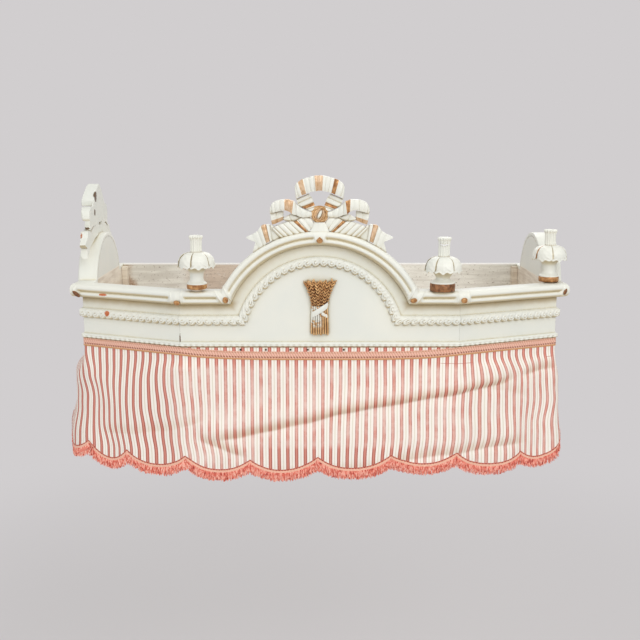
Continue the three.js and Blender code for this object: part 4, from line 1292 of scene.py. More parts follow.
def makeWheatGrain():
    deselectAll()
    bpy.ops.mesh.primitive_uv_sphere_add(segments=8, ring_count=6, radius=1)
    grain = bpy.context.object
    half = Vector((sheaf["grainWidth"] / 2, sheaf["grainWidth"] / 2, sheaf["grainLength"] / 2)) * mm
    for vertex in grain.data.vertices:
        pointed = 1 - 0.35 * vertex.co.z
        vertex.co = Vector((vertex.co.x * pointed * half.x, vertex.co.y * pointed * half.y, vertex.co.z * half.z))
    return grain


# How far a line along the sheaf leans to the right, from one share of its height to another
def sheafLean(low, high, across, lift):
    spot, nextSpot = sheafSpot(low, across, lift), sheafSpot(high, across, lift)
    return spot, atan2(nextSpot.x - spot.x, nextSpot.z - spot.z)


def makeEars():
    matrices = []
    for ear in range(sheaf["ears"]):
        across = mix(-0.84, 0.84, ear / (sheaf["ears"] - 1))
        lift = sheaf["earLift"][ear % 2]
        for row in range(sheaf["earRows"]):
            share = mix(*sheaf["earSpan"], row / (sheaf["earRows"] - 1)) + 0.02 * (ear % 2)
            share += random.uniform(-0.008, 0.008)
            spot, lean = sheafLean(share, share + 0.03, across, lift)
            width, _ = sheafWidth(share)
            shift = sheaf["grainShift"] * width / sheaf["fullWidth"] * mm
            for side in (-1, 1):
                spread = sheaf["earSpread"] + random.uniform(-sheaf["spreadChange"], sheaf["spreadChange"])
                tilt = Matrix.Rotation(lean + side * radians(spread), 4, "Y")
                beside = Vector((side * shift * cos(lean), 0, -side * shift * sin(lean)))
                nod = Matrix.Rotation(radians(random.uniform(-12, 4)), 4, "X")
                size = Matrix.Scale(min(width / sheaf["grainWide"], 1.1) * random.uniform(0.85, 1.12), 4)
                matrices.append(Matrix.Translation(spot + beside) @ tilt @ nod @ size)
    finished(repeated(makeWheatGrain(), matrices), "wheat_ears", [earGold])


def makeTips():
    matrices = []
    count = sheaf["ears"] * 2 + 3
    for tip in range(count):
        spot, lean = sheafLean(*sheaf["tipSpan"], mix(-0.98, 0.98, tip / (count - 1)), sheaf["earLift"][1])
        tilt = Matrix.Rotation(lean + random.uniform(-0.2, 0.2), 4, "Y")
        size = Matrix.Diagonal((0.62, 0.62, random.uniform(0.9, 1.45), 1))
        matrices.append(Matrix.Translation(spot) @ tilt @ size)
    finished(repeated(makeWheatGrain(), matrices), "wheat_tips", [earGold])


# The sheaf's core, painted dark as the shade between its stalks and ears
def makeSheafCore():
    steps = sheaf["coreSteps"]

    def ringAt(share):
        ring = []
        for step in range(steps + 1):
            across = cos(pi * step / steps) * 0.94
            ring.append(sheafSpot(mix(*sheaf["coreSpan"], share), across, 0.72 if 0 < step < steps else 0))
        return ring

    finished(shapedTube(24, ringAt), "sheaf_core", [sheafShadeGold], ["wheat_sheaf"])


def makeStalks():
    stalks = []
    for stalk in range(sheaf["stalks"]):
        across = mix(-0.86, 0.86, stalk / (sheaf["stalks"] - 1))
        low = random.uniform(-0.01, 0.015)

        def ringAt(share):
            spot = sheafSpot(mix(low, sheaf["stalkTop"], share), across, 0.86)
            sides, radius = sheaf["stalkSides"], sheaf["stalkRadius"] * mm
            return [spot + around(2 * pi * step / sides) * radius for step in range(sides)]

        stalks.append(shapedTube(10, ringAt))
    finished(joined(stalks), "sheaf_stalks", [stalkGold])


def makeSheafRibbon():
    bands = []
    steps = sheaf["ribbonSteps"]
    for band in ribbonBands:
        def ringAt(share):
            across, out = mix(band["from"], band["to"], share), band["out"]
            middle = band["middle"] + band["rise"] / sheaf["height"] / 2 * across
            half = band["width"] / sheaf["height"] / 2
            low, high = sheafSpot(middle - half, across, out), sheafSpot(middle + half, across, out)
            outward = Vector((across * 0.5, -1, 0)).normalized() * mm
            fold = sheaf["ribbonFold"] * sin(share * pi * 3)
            ring = []
            for step in range(steps + 1):
                rise = sheaf["ribbonRise"] * sin(pi * step / steps) + fold
                ring.append(low.lerp(high, step / steps) + outward * rise)
            for step in range(steps + 1):
                ring.append(high.lerp(low, step / steps) - outward * sheaf["ribbonThickness"])
            return ring

        bands.append(shapedTube(28, ringAt))
    finished(joined(bands), "sheaf_binding", [carvingPaint], ["sheaf_ribbon"])


makeEars()
makeTips()
makeSheafCore()
makeStalks()
makeSheafRibbon()
print("sheaf carved")

# Finials: a turned core, copied leaves that overlap round the dome, and a fluted neck

finial = {
    "height": 138.5, "neckRadius": 13.6, "neckTop": 16.4, "neckFoot": 97, "flutes": 14, "fluteDepth": 0.9,
    "waist": 16.6,
    "leaves": 6, "leafHalfAngle": 37, "leafRelief": 3.4, "leafThickness": 2.4, "veins": 3, "veinHeight": 0.7,
    "swell": 1.6, "curl": 2.2, "edgeShare": 0.955, "leafUnevenness": 0.7, "leafGrain": 14, "pegRadius": 5,
    "pegLength": 22, "steps": 112, "flutedFrom": 96, "flutedTop": (128.5, 134.5), "fluteRim": (4, 12),
    "bandSwell": 0.4, "coveRise": 6.5, "lowered": (28, 48), "loweredTop": (97, 134),
}
leafPath = [(14.5, 97.4), (21, 97), (30.5, 93.6), (38, 86.5), (42, 77.5), (43.4, 69), (43, 62.5), (41.4, 57.5)]
# The core's outline, each stretch out and up from the place that coreProfile gives it
coreCurves = {
    "peg": [(-0.8, 0), (0, 1.2)], "foot": [(-0.8, 0), (0, 0.5)], "bandFoot": [(-1.2, 0), (0, 1.2)],
    "bandTop": [(0, -0.8), (-0.6, 0), (-0.4, 0.3), (-0.2, 1.6), (-0.8, 3.4), (-2.6, 4.4)],
    "waist": [(1, 10), (0, 15)],
    "shoulder": [(0.6, 44), (3, 50), (7, 55.5)],
    "dome": [(29, 60), (36, 66), (37, 74), (34, 82), (27, 89), (18, 94)],
    "neckFoot": [(0.6, -1), (0, 2), (-0.2, 14)], "neckTop": [(0, -14), (0.8, -9.5)],
    "lip": [(-1, -6), (0, -3.8), (-0.2, -1.4), (-2.2, 0), (-6, -0.8)], "hollow": [(6, -1.6), (0, -1.8)],
}
finialBases = {
    "left_finial": {"bandRadius": 25, "bandHeight": 12, "foot": 6, "footRadius": 12, "turn": 14},
    "right_finial": {
        "bandRadius": 31, "bandHeight": 20, "foot": 0.5, "footRadius": 24, "turn": -8, "lean": 0.02,
        "lower": 11,
    },
    "end_finial": {"bandRadius": 26, "bandHeight": 14, "foot": 1.5, "footRadius": 20, "turn": 22, "giltLeaf": 4},
}
finialPaints = [carvingPaint, gold, paleWood, gold, oliveLine]


def turnedPiece(profile):
    deselectAll()
    bpy.ops.mesh.primitive_plane_add(size=mm)
    piece = bpy.context.object
    bpy.ops.object.mode_set(mode="EDIT")
    shell = bmesh.from_edit_mesh(piece.data)
    shell.verts.ensure_lookup_table()
    bmesh.ops.delete(shell, geom=shell.verts[1:], context="VERTS")
    shell.verts.ensure_lookup_table()
    shell.verts[0].co = Vector((profile[0][0], 0, profile[0][1])) * mm
    bmesh.update_edit_mesh(piece.data)
    bpy.ops.mesh.select_all(action="SELECT")
    for (r, z), (nextR, nextZ) in zip(profile, profile[1:]):
        bpy.ops.mesh.extrude_region_move(TRANSFORM_OT_translate={"value": ((nextR - r) * mm, 0, (nextZ - z) * mm)})
    bpy.ops.mesh.select_all(action="SELECT")
    bpy.ops.mesh.spin(steps=finial["steps"], angle=2 * pi, center=(0, 0, 0), axis=(0, 0, 1))
    objectMode()
    return mended(piece, "turned")


def stretch(name, radius, height):
    return [(radius + out, height + up) for out, up in coreCurves[name]]


def coreProfile(base):
    band, foot, footRadius = base["bandRadius"], base["foot"] + gap, base["footRadius"]
    top = base["foot"] + base["bandHeight"]
    middle = mix(base["foot"], top, 0.5)
    peg, pegFoot = finial["pegRadius"], -finial["pegLength"]
    waist, neck, lip, height = finial["waist"], finial["neckRadius"], finial["neckTop"], finial["height"]
    profile = [(0, pegFoot)] + stretch("peg", peg, pegFoot) + [(peg, gap)] + stretch("foot", footRadius, gap)
    profile += [(footRadius, foot)] + stretch("bandFoot", band, foot) + [(band + finial["bandSwell"], middle)]
    profile += stretch("bandTop", band, top) + [(mix(waist, band, 0.35), top + finial["coveRise"])]
    profile += stretch("waist", waist, top) + stretch("shoulder", waist, 0) + stretch("dome", 0, 0)
    profile += stretch("neckFoot", neck, finial["neckFoot"]) + stretch("neckTop", neck, height)
    return profile + stretch("lip", lip, height) + stretch("hollow", 0, height)


def makeLeaf():
    half = radians(finial["leafHalfAngle"])

    def pathAt(share):
        spot = share * (len(leafPath) - 1)
        index = min(int(spot), len(leafPath) - 2)
        (lowR, lowZ), (highR, highZ) = leafPath[index], leafPath[index + 1]
        return mix(lowR, highR, spot - index), mix(lowZ, highZ, spot - index)

    def pointAt(u, v):
        side = 2 * u - 1
        lobes = 0.5 + 0.5 * cos(side * pi * 3)
        length = v * (0.86 + 0.14 * lobes * (1 - 0.4 * side * side) - 0.10 * side * side)
        radius, z = pathAt(length)
        taper = mix(0.97, 1, ease(v, 0, 0.4))
        rib = finial["veinHeight"] * 1.3 * hill(side, 0.05) * (1 - v * 0.4)
        climb = (length - abs(side) * 0.42) * finial["veins"] * 1.35
        vein = finial["veinHeight"] * (0.5 + 0.5 * cos(2 * pi * climb)) ** 3
        vein *= ease(abs(side), 0.03, 0.2) * ease(1 - abs(side), 0, 0.15)
        swell = finial["swell"] * (1 - side * side) * sin(pi * min(length, 1) * 0.9)
        curl = finial["curl"] * ease(v, 0.86, 1) * (0.4 + 0.6 * lobes)
        radius += finial["leafRelief"] * 0.5 * side * ease(v, 0, 0.25) + rib + vein + swell + curl
        angle = side * half * taper
        return Vector((radius * sin(angle), -radius * cos(angle), z)) * mm

    leaf = shapedGrid(44, 44, pointAt)
    for material in finialPaints:
        leaf.data.materials.append(material)
    for face, u, _ in faceShares(leaf):
        face.material_index = 3 if u > finial["edgeShare"] else 0
    outward = sum(face.normal.dot(Vector((face.center.x, face.center.y, 0))) for face in leaf.data.polygons) > 0
    applied(leaf, "SOLIDIFY", thickness=finial["leafThickness"] * mm, offset=-1 if outward else 1)
    return mended(leaf)


def makeCore(base):
    core = turnedPiece(coreProfile(base))
    for material in finialPaints:
        core.data.materials.append(material)
    for vertex in core.data.vertices:
        height = vertex.co.z / mm
        angle = atan2(vertex.co.y, vertex.co.x)
        if height > finial["flutedFrom"]:
            flute = finial["fluteDepth"] * cos(finial["flutes"] * angle)
            flute *= 1 + 0.5 * ease(height, *finial["flutedTop"])
            flute *= ease(hypot(vertex.co.x, vertex.co.y) / mm, *finial["fluteRim"])
            vertex.co.x += flute * cos(angle) * mm
            vertex.co.y += flute * sin(angle) * mm
    for face in core.data.polygons:
        height = face.center.z / mm
        if base["foot"] < height < base["foot"] + base["bandHeight"]:
            face.material_index = 1
        elif height < base["foot"] + gap:
            face.material_index = 2
    return core


def makeFinial(name, base):
    pieces = [makeCore(base)]
    for index in range(finial["leaves"]):
        leaf = makeLeaf()
        if index != base.get("giltLeaf"):
            for face in leaf.data.polygons:
                face.material_index = 4 if face.material_index == 3 else 0
        turn = radians(base["turn"] + index * 360 / finial["leaves"])
        leaf.data.transform(Matrix.Rotation(turn, 4, "Z"))
        pieces.append(carved(leaf, finial["leafUnevenness"], finial["leafGrain"], index + len(name)))
    if name == "right_finial":
        pieces.append(brokenRing())
    whole = joined(pieces)
    for vertex in whole.data.vertices:
        vertex.co.x += max(vertex.co.z, 0) * base.get("lean", 0)
        height = vertex.co.z / mm
        lower = ease(height, *finial["lowered"]) * mix(1, 0.4, ease(height, *finial["loweredTop"]))
        vertex.co.z -= base.get("lower", 0) * lower * mm
    whole.data.transform(Matrix.Translation(Vector((*finialPlaces[name], railTop)) * mm))
    paints = list(finialPaints)
    if name == "right_finial":
        paints[1] = darkBronze
    finished(whole, name.replace("finial", "leaf_finial"), paints, [name], name, 42)


# What is left of a turned ring near the top of one neck
ringStub = {"from": -150, "to": -50, "thickness": 1.5, "endShare": 0.06, "height": 124, "dip": 2.2, "out": 1}


def brokenRing():
    def ringAt(share):
        angle = radians(mix(ringStub["from"], ringStub["to"], share))
        fullness = sin(pi * mix(ringStub["endShare"], 1 - ringStub["endShare"], share)) ** 0.5
        thickness = ringStub["thickness"] * fullness
        ring = []
        for step in range(8):
            turn = 2 * pi * step / 8
            radius = finial["neckRadius"] + ringStub["out"] + thickness * cos(turn)
            height = ringStub["height"] - ringStub["dip"] * sin(pi * share) + thickness * sin(turn)
            ring.append(Vector((radius * cos(angle), radius * sin(angle), height)) * mm)
        return ring

    return shapedTube(24, ringAt)


for name, base in finialBases.items():
    makeFinial(name, base)
print("finials turned")

# Valance cloth. s is the length along the cloth from the middle of the front, to the right, and drop is the length
# below the rail's top, in millimetres.

cloth = {
    "topDrop": 146, "thickness": 1.2, "wallInset": 6, "columnStep": 3.6, "rows": 104, "cornerRound": 22,
    "flareFront": 8, "fluteDepth": 3, "flutePitch": 167, "hangDrop": 168, "hemLevel": 438,
    "looseCornerRound": 48, "looseReach": 160, "sharpRound": 2, "roundFrom": 165, "roundFull": 300,
    "freeFrom": 175, "freeFull": 205, "crumple": 1.4, "crumpleWide": 55, "crumpleTall": 42, "crumpleSeed": 3.1,
    "flatHeight": 0.319, "flatArea": 0.656,
}
# The scallops' cusps, and how far each scallop hangs below the line from its cusp to the next
scallops = [
    (-1140, 436, 28), (-985, 432, 30), (-824, 406, 50), (-661, 431, 33), (-524, 436, 32), (-365, 431, 33),
    (-180, 440, 34), (-5, 431, 36), (188, 427, 27), (360, 423, 32), (528, 444, 40), (692, 404, 30),
    (868, 436, 28), (1035, 436, 28), (1190, 436, 28),
]
# Where the loose sides swing out, past each front corner
swings = [
    {"side": -1, "out": 73, "start": 570, "full": 790, "back": 45, "lift": 24, "level": 0.76},
    {"side": 1, "out": 26, "start": 610, "full": 690, "back": 15, "lift": 2, "level": 0.75},
]
# How far threads lean to the right, for a thread and at each of these drops
leanDrops = [176, 240, 310, 375, 440]
leans = [
    (-1058, (0, 6, 12, 18, 24)), (-820, (0, 20, 30, 34, 38)), (-720, (0, 17, 25, 26, 28)),
    (-640, (0, 15, 23, 21, 23)),
    (-603, (0, 2, 12, 10, 20)), (-565, (0, 0, 4, 1, 12)), (-525, (0, -2, -5, -5, 5)),
    (-464, (0, -5, -7, -1, 8)),
    (-425, (0, -3, 0, 8, 15)), (-385, (0, -1, 7, 14, 21)), (-350, (0, 2, 7, 12, 19)), (-305, (0, 1, 4, 4, 13)),
    (-262, (0, 0, 0, 0, 9)), (-170, (0, 0, 0, 0, 0)), (0, (0, 0, 0, 0, 0)), (60, (0, 0, -2, -4, -5)),
    (163, (0, 1, -1, -1, -5)), (232, (0, 0, -2, -1, -6)), (345, (0, -1, -5, -4, -9)),
    (392, (0, 1, -5, -4, -10)),
    (433, (0, 9, 7, 7, 2)), (475, (0, 15, 16, 17, 13)), (517, (0, 20, 21, 20, 20)), (557, (0, 14, 18, 13, 14)),
    (600, (0, 8, 14, 6, 8)), (640, (0, 3, 8, 0, 2)), (720, (0, 2, 5, 0, -4)), (1058, (0, 0, 0, 0, 0)),
]
# Folds. The cloth comes out to the crest, turns in to the crease, and comes out again by "under" beneath it.
folds = [
    {"out": 8, "under": 4, "underReach": 35, "rise": 42, "fade": (90, 70), "shade": 1,
     "crest": [(-310, 368), (-175, 345), (-38, 322), (97, 297), (235, 272), (348, 252), (442, 240), (530, 220)],
     "crease": [(-310, 398), (-221, 384), (-129, 365), (-38, 345), (53, 321), (166, 300), (304, 277), (393, 263),
                (467, 255), (500, 243), (530, 236)]},
    {"out": 7, "under": 3, "underReach": 20, "rise": 50, "fade": (60, 50), "shade": 0.6,
     "crest": [(-150, 410), (145, 408), (250, 398), (340, 393), (445, 386), (560, 392)],
     "crease": [(-150, 492), (145, 470), (228, 443), (320, 428), (414, 423), (465, 420), (560, 422)]},
    {"out": 6, "under": 2, "underReach": 25, "rise": 40, "fade": (30, 40), "shade": 0.8,
     "crest": [(-325, 345), (-277, 372), (-222, 398), (-180, 404)],
     "crease": [(-325, 384), (-277, 405), (-222, 425), (-180, 436)]},
    {"out": 7, "under": 0, "underReach": 40, "rise": 50, "fade": (50, 60), "shade": 0.4,
     "crest": [(-620, 292), (-510, 272), (-466, 262), (-416, 232), (-351, 211), (-280, 200)],
     "crease": [(-620, 400), (-510, 392), (-416, 372), (-351, 352), (-280, 330)]},
    {"out": 4, "under": 2, "underReach": 20, "rise": 22, "fade": (26, 30), "shade": 0.8,
     "crest": [(530, 220), (566, 212), (606, 205), (655, 204)],
     "crease": [(530, 242), (566, 233), (606, 227), (655, 225)]},
    {"out": 4, "under": 0, "underReach": 40, "rise": 30, "fade": (40, 40), "shade": 0.3,
     "crest": [(390, 206), (470, 216), (560, 236)], "crease": [(390, 250), (470, 270), (560, 300)]},
]
frontEnd = front["length"] / 2
wingEnd = frontEnd + leftWing["length"]
sideEnd = wingEnd + leftSide["length"] - cloth["wallInset"]


def hemDrop(s):
    (_, lowDrop, sag), (_, highDrop, _), share = between(scallops, s)
    return mix(lowDrop, highDrop, share) + 4 * sag * share * (1 - share)


def planPoint(s):
    if abs(s) <= frontEnd:
        return front, s + frontEnd
    if s < -wingEnd:
        return leftSide, leftSide["length"] + s + wingEnd
    if s < 0:
        return leftWing, leftWing["length"] + s + frontEnd
    if s <= wingEnd:
        return rightWing, s - frontEnd
    return rightSide, s - wingEnd


corners = [
    (-wingEnd, leftSide, leftWing), (-frontEnd, leftWing, front),
    (frontEnd, front, rightWing), (wingEnd, rightWing, rightSide),
]


# A place on the cloth. Its corners grow rounder further down.
def clothSpot(s, n, drop):
    widest = cloth["cornerRound"] + cloth["looseCornerRound"] * hill(s + wingEnd, cloth["looseReach"])
    rounding = mix(cloth["sharpRound"], widest, ease(drop, cloth["roundFrom"], cloth["roundFull"]))
    run, u = planPoint(s)
    spot, outward = run["start"] + run["along"] * u, run["outward"]
    for corner, before, after in corners:
        past = s - corner
        if abs(past) < rounding:
            left, right = (rounding - past) ** 2 / (4 * rounding), (rounding + past) ** 2 / (4 * rounding)
            spot = after["start"] - before["along"] * left + after["along"] * right
            share = (rounding + past) / (2 * rounding)
            outward = (before["outward"] * (1 - share) + after["outward"] * share).normalized()
    spot = spot + outward * n
    return Vector((spot.x, spot.y, railTop - drop)) * mm


# The height of a line of points at s
def lineDrop(line, s):
    (_, lowDrop), (_, highDrop), share = between(line, s)
    return mix(lowDrop, highDrop, ease(share, 0, 1) * 0.4 + 0.6 * share)


def foldStrength(fold, s):
    start, end = fold["crest"][0][0], fold["crest"][-1][0]
    if not start < s < end:
        return 0
    grown = ease(s, start, start + fold["fade"][0])
    return grown * (1 - ease(s, end - fold["fade"][1], end))


def foldOut(fold, s, drop):
    strength = foldStrength(fold, s)
    if not strength:
        return 0
    top, foot = lineDrop(fold["crest"], s), lineDrop(fold["crease"], s)
    if drop < top:
        return strength * fold["out"] * hill(top - drop, fold["rise"])
    if drop < foot:
        return strength * fold["out"] * sin(pi / 2 * (foot - drop) / (foot - top))
    below = (drop - foot) / fold["underReach"]
    return strength * fold["under"] * (sin(pi / 2 * below) if below < 1 else hill(below - 1, 1.6))


# How deep a place lies in the tucks, just above their creases: the mask for the painted shade there
tuckEdge = {"soft": 3, "full": 7, "reach": 36}


def tuckDepth(s, drop):
    deepest = 0
    for fold in folds:
        strength = fold["shade"] * foldStrength(fold, s)
        if strength:
            above = lineDrop(fold["crease"], s) - drop
            strength *= ease(above, -tuckEdge["soft"], tuckEdge["soft"])
            deepest = max(deepest, strength * (1 - ease(above, tuckEdge["full"], tuckEdge["reach"])))
    return deepest


# Painted shade on the stripes: where the cloth lies in shade their colour is kept from fading and darkened, in the
# tucks, on the left, and below the fold along the front's hem
lasting = {
    "hem": (394, 412), "hemLeft": (-190, -120), "hemRight": (230, 300), "before": 20, "past": 60,
    "rightShare": 0.35,
}


def stripeShadeShare(s, drop):
    hem = ease(drop, *lasting["hem"]) * ease(s, *lasting["hemLeft"])
    hem *= 1 - ease(s, *lasting["hemRight"])
    edge = (frontEnd - lasting["before"], frontEnd + lasting["past"])
    wings = ease(-s, *edge) + lasting["rightShare"] * ease(s, *edge)
    return max(hem, 0.85 * tuckDepth(s, drop), wings)


swingDrops = {"low": (340, 440), "high": (168, 262), "backFrom": 20}


def swingShare(swing, s, drop):
    past = s * swing["side"]
    level = mix(ease(drop, *swingDrops["low"]), ease(drop, *swingDrops["high"]), swing["level"])
    fading = ease(past, swing["full"] + swingDrops["backFrom"], sideEnd)
    return level * ease(past, swing["start"], swing["full"]) * mix(1, swing["back"] / swing["out"], fading)


# How far down the hanging part a drop lies
def hangShare(drop):
    return max(drop - cloth["hangDrop"], 0) / (cloth["hemLevel"] - cloth["hangDrop"])


def clothOut(s, drop):
    flute = cloth["fluteDepth"] * cos(2 * pi * s / cloth["flutePitch"])
    out = gap + cloth["thickness"] + (cloth["flareFront"] + flute) * hangShare(drop) ** 1.4
    free = ease(drop, cloth["freeFrom"], cloth["freeFull"])
    out += free * sum(foldOut(fold, s, drop) for fold in folds)
    out += sum(swing["out"] * swingShare(swing, s, drop) for swing in swings)
    spot = Vector((s / cloth["crumpleWide"], drop / cloth["crumpleTall"], cloth["crumpleSeed"]))
    out += free * cloth["crumple"] * noise.noise(spot)
    return max(out, gap + cloth["thickness"])


def clothLift(s, drop):
    return sum(swing["lift"] * swingShare(swing, s, drop) for swing in swings) * hangShare(drop)


def leanAt(pulls, drop):
    for low, high, lowPull, highPull in zip(leanDrops, leanDrops[1:], pulls, pulls[1:]):
        if drop <= high:
            return mix(lowPull, highPull, ease(drop, low, high))
    return pulls[-1]


def clothPull(s, drop):
    if drop <= leanDrops[0]:
        return 0
    (_, lowPulls), (_, highPulls), share = between(leans, s)
    return mix(leanAt(lowPulls, drop), leanAt(highPulls, drop), share)


def threadSpot(s, drop, extra=0, below=0):
    along = min(max(s + clothPull(s, drop), -sideEnd), sideEnd)
    return clothSpot(along, clothOut(along, drop) + extra, drop + below - clothLift(along, drop))


def makeValance():
    columns = round(2 * sideEnd / cloth["columnStep"])

    def pointAt(u, v):
        s = mix(-sideEnd, sideEnd, u)
        return threadSpot(s, mix(hemDrop(s), cloth["topDrop"], v))

    sheet = shapedGrid(columns, cloth["rows"], pointAt)
    sheet.data.uv_layers.active.name = "threads"
    # A second UV map carries the painted shade: how much of the stripes' colour shade keeps, and how deep a place
    # lies in a tuck
    sheet.data.uv_layers.new(name="lasting", do_init=False)
    layers = sheet.data.uv_layers
    for threadLoop, shadingLoop in zip(layers["threads"].data, layers["lasting"].data):
        s = mix(-sideEnd, sideEnd, threadLoop.uv.x)
        drop = mix(hemDrop(s), cloth["topDrop"], threadLoop.uv.y)
        threadLoop.uv = (s * mm, -drop * mm)
        shadingLoop.uv = (stripeShadeShare(s, drop), tuckDepth(s, drop))
    if sum(face.normal.y for face in sheet.data.polygons) > 0:
        editAll(sheet)
        bpy.ops.mesh.flip_normals()
        objectMode()
    applied(sheet, "SOLIDIFY", thickness=cloth["thickness"] * mm, offset=-1)
    stripes = tickingCloth("striped_ticking")
    return finished(sheet, "striped_valance", [stripes], ["valance"], angle=180)


# Coral stripes with darker edges, a grey line between them, and full colour in a band just under the gimp, painted
# as its shadow. Lengths are in metres, and stripe and line widths are shares of the period.
ticking = {
    "period": 0.0225, "phase": 0.0085, "stripeShare": 0.198, "lineShare": 0.44,
    "ivory": (0.93, 0.875, 0.805, 1),
    "coral": (0.71, 0.30, 0.24, 1), "coralEdge": (0.45, 0.10, 0.07, 1), "line": (0.70, 0.635, 0.50, 1),
    "lineStrength": 0.65, "faded": (-0.186, -0.206), "patches": 20.0, "waves": 40.0, "wander": 0.0006,
    "inShade": (0.92, 0.90, 0.90, 1), "paintedShade": (0.66, 0.42, 0.32, 1), "shadeReach": 0.01, "clothShadeStrength": 0.45,
    "tuck": (0.85, 0.76, 0.67, 1), "thread": 0.0008, "threadHeight": 0.0003, "roughness": 0.85,
}
# Painted shadow lines where the cloth is pinched under the gimp: from and to along it, and where they lie below the
# rail
pinches = [
    {"x": (0.302, 0.397), "y": -0.187, "tilt": -0.02}, {"x": (0.612, 0.645), "y": -0.1945, "tilt": 0.05},
]
pinchShadow = {"edge": (0.0011, 0.0004), "end": 0.01, "strength": 0.7, "colour": (0.50, 0.14, 0.10, 1)}


# A thin painted shadow line along a pinch
def pinched(x, y, pinch, base):
    low, high = pinch["x"]
    tilted = times(minus(x, low), pinch["tilt"])
    away = minus(minus(y, pinch["y"]), tilted)
    mark = ramp(mathNode("ABSOLUTE", away), *pinchShadow["edge"])
    mark = times(mark, ramp(x, low, low + pinchShadow["end"]))
    mark = times(mark, ramp(x, high, high - pinchShadow["end"]))
    return mixColour(times(mark, pinchShadow["strength"]), base, pinchShadow["colour"])


def tickingCloth(name):
    shader, spot = newMaterial(name, ticking["roughness"])
    threads = uvMap("threads")
    x, y, _ = partsOf(threads)
    keptInShade, tucked, _ = partsOf(uvMap("lasting"))
    wander = times(noisy(threads, ticking["waves"]), ticking["wander"])
    across = minus(plus(x, wander), ticking["phase"])
    turns = mathNode("DIVIDE", across, ticking["period"])
    part = mathNode("FRACT", plus(turns, 0.5))
    away = mathNode("ABSOLUTE", minus(part, 0.5))
    stripeShare, lineShare = ticking["stripeShare"], ticking["lineShare"]
    stripe = ramp(away, stripeShare + 0.012, stripeShare - 0.012)
    edge = ramp(away, stripeShare - 0.13, stripeShare - 0.05)
    line = ramp(away, lineShare - 0.015, lineShare + 0.015)
    patches = ramp(noisy(threads, ticking["patches"], 5.0, 0.65), 0.3, 0.72, 0.08, 0.5)
    # Sun-faded patches, kept out of the band under the gimp, which is the gimp's painted shadow
    worn = times(patches, ramp(y, *ticking["faded"]))
    worn = times(worn, minus(1.0, keptInShade, clamp=True))
    coral = mixColour(edge, ticking["coral"], ticking["coralEdge"])
    # Painted shade: the coral is darker where the cloth lies in shade
    coral = mixColour(ramp(keptInShade, 0.8, 1.0), coral, ticking["inShade"], "MULTIPLY")
    coral = mixColour(worn, coral, ticking["ivory"])
    base = mixColour(times(line, ticking["lineStrength"]), ticking["ivory"], ticking["line"])
    base = mixColour(stripe, base, coral)
    for pinch in pinches:
        base = pinched(x, y, pinch, base)
    # Painted shade in the cloth's creases and corners
    paintedShade = cornerShadeMask(spot, ticking["shadeReach"])
    base = mixColour(times(paintedShade, ticking["clothShadeStrength"]), base, ticking["paintedShade"], "MULTIPLY")
    # Painted shade in the tucks, just above their creases
    base = mixColour(tucked, base, ticking["tuck"], "MULTIPLY")
    shader.inputs["Specular IOR Level"].default_value = 0.15
    weave = useGroup(weaveGroup, {"Vector": threads, "Thread": ticking["thread"]})
    return finishPaint(shader, base, weave["Height"], 0.25, ticking["threadHeight"], sheen=0.02)


# Gimp: a ribbed band, a row of twisted dashes and a cord line

gimp = {
    "height": 21, "thickness": 2.4, "drop": 145, "sag": 12, "dash": 7.4, "dashLean": 1.2, "columnStep": 2.1,
    "rows": 12,
    "sunk": 0.6, "backOut": 0.1, "salmon": (0.86, 0.51, 0.40, 1), "paleSalmon": (0.86, 0.56, 0.44, 1),
    "twill": (0.60, 0.25, 0.15, 1), "twillPitch": 6.8, "twillLean": 1.6, "dark": (0.30, 0.10, 0.05, 1),
    "cord": (0.60, 0.30, 0.12, 1), "topDash": (0.52, 0.24, 0.13, 1), "ribPitch": 1.1, "ribHeight": 0.0003,
    "patches": 60.0, "roughness": 0.75,
}
# Raised lines of the gimp: height, and place and width as shares of its height
gimpLines = [(0.5, 0.08, 0.07), (0.5, 0.93, 0.06), (0.25, 0.66, 0.2)]
gimpTwist = (0.8, 0.33, 0.12)


def gimpTop(s):
    share = min(abs(s) / frontEnd, 1)
    return gimp["drop"] + gimp["sag"] * (1 - share**4)


def makeGimp():
    columns = round(2 * sideEnd / gimp["columnStep"])
    rows = gimp["rows"]

    def ringAt(share):
        s = mix(-sideEnd, sideEnd, share)
        ring = []
        for row in range(rows + 1):
            v = row / rows
            twist = 0.5 + 0.5 * sin(2 * pi * (s / gimp["dash"] + gimp["dashLean"] * v))
            relief = raised(gimpLines, v) + twist * raised([gimpTwist], v)
            out = gap + gimp["thickness"] + relief - gimp["sunk"]
            ring.append(threadSpot(s, gimpTop(s) + gimp["height"] * (1 - v), out))
        ring.append(threadSpot(s, gimpTop(s), gimp["backOut"]))
        ring.append(threadSpot(s, gimpTop(s) + gimp["height"], gimp["backOut"]))
        return ring

    band = shapedTube(columns, ringAt)
    layer = band.data.uv_layers.active
    layer.name = "threads"
    count = rows + 3
    for loop in layer.data:
        share = min(loop.uv.y * count / rows, 1)
        loop.uv = (loop.uv.x * 2 * sideEnd * mm, share)
    return finished(band, "gimp_band", [gimpBraid("salmon_gimp")], ["gimp"], angle=70)


# Waves that run along a braid at a pitch in millimetres, and lean as they cross it
def braidWave(x, y, pitch, lean=0):
    turns = mathNode("DIVIDE", x, pitch * mm)
    if lean:
        turns = plus(turns, times(y, lean))
    return mathNode("SINE", times(turns, 2 * pi))


# A band across a braid, between two soft edges
def rowMask(y, low, high):
    return times(ramp(y, *low), ramp(y, *high))


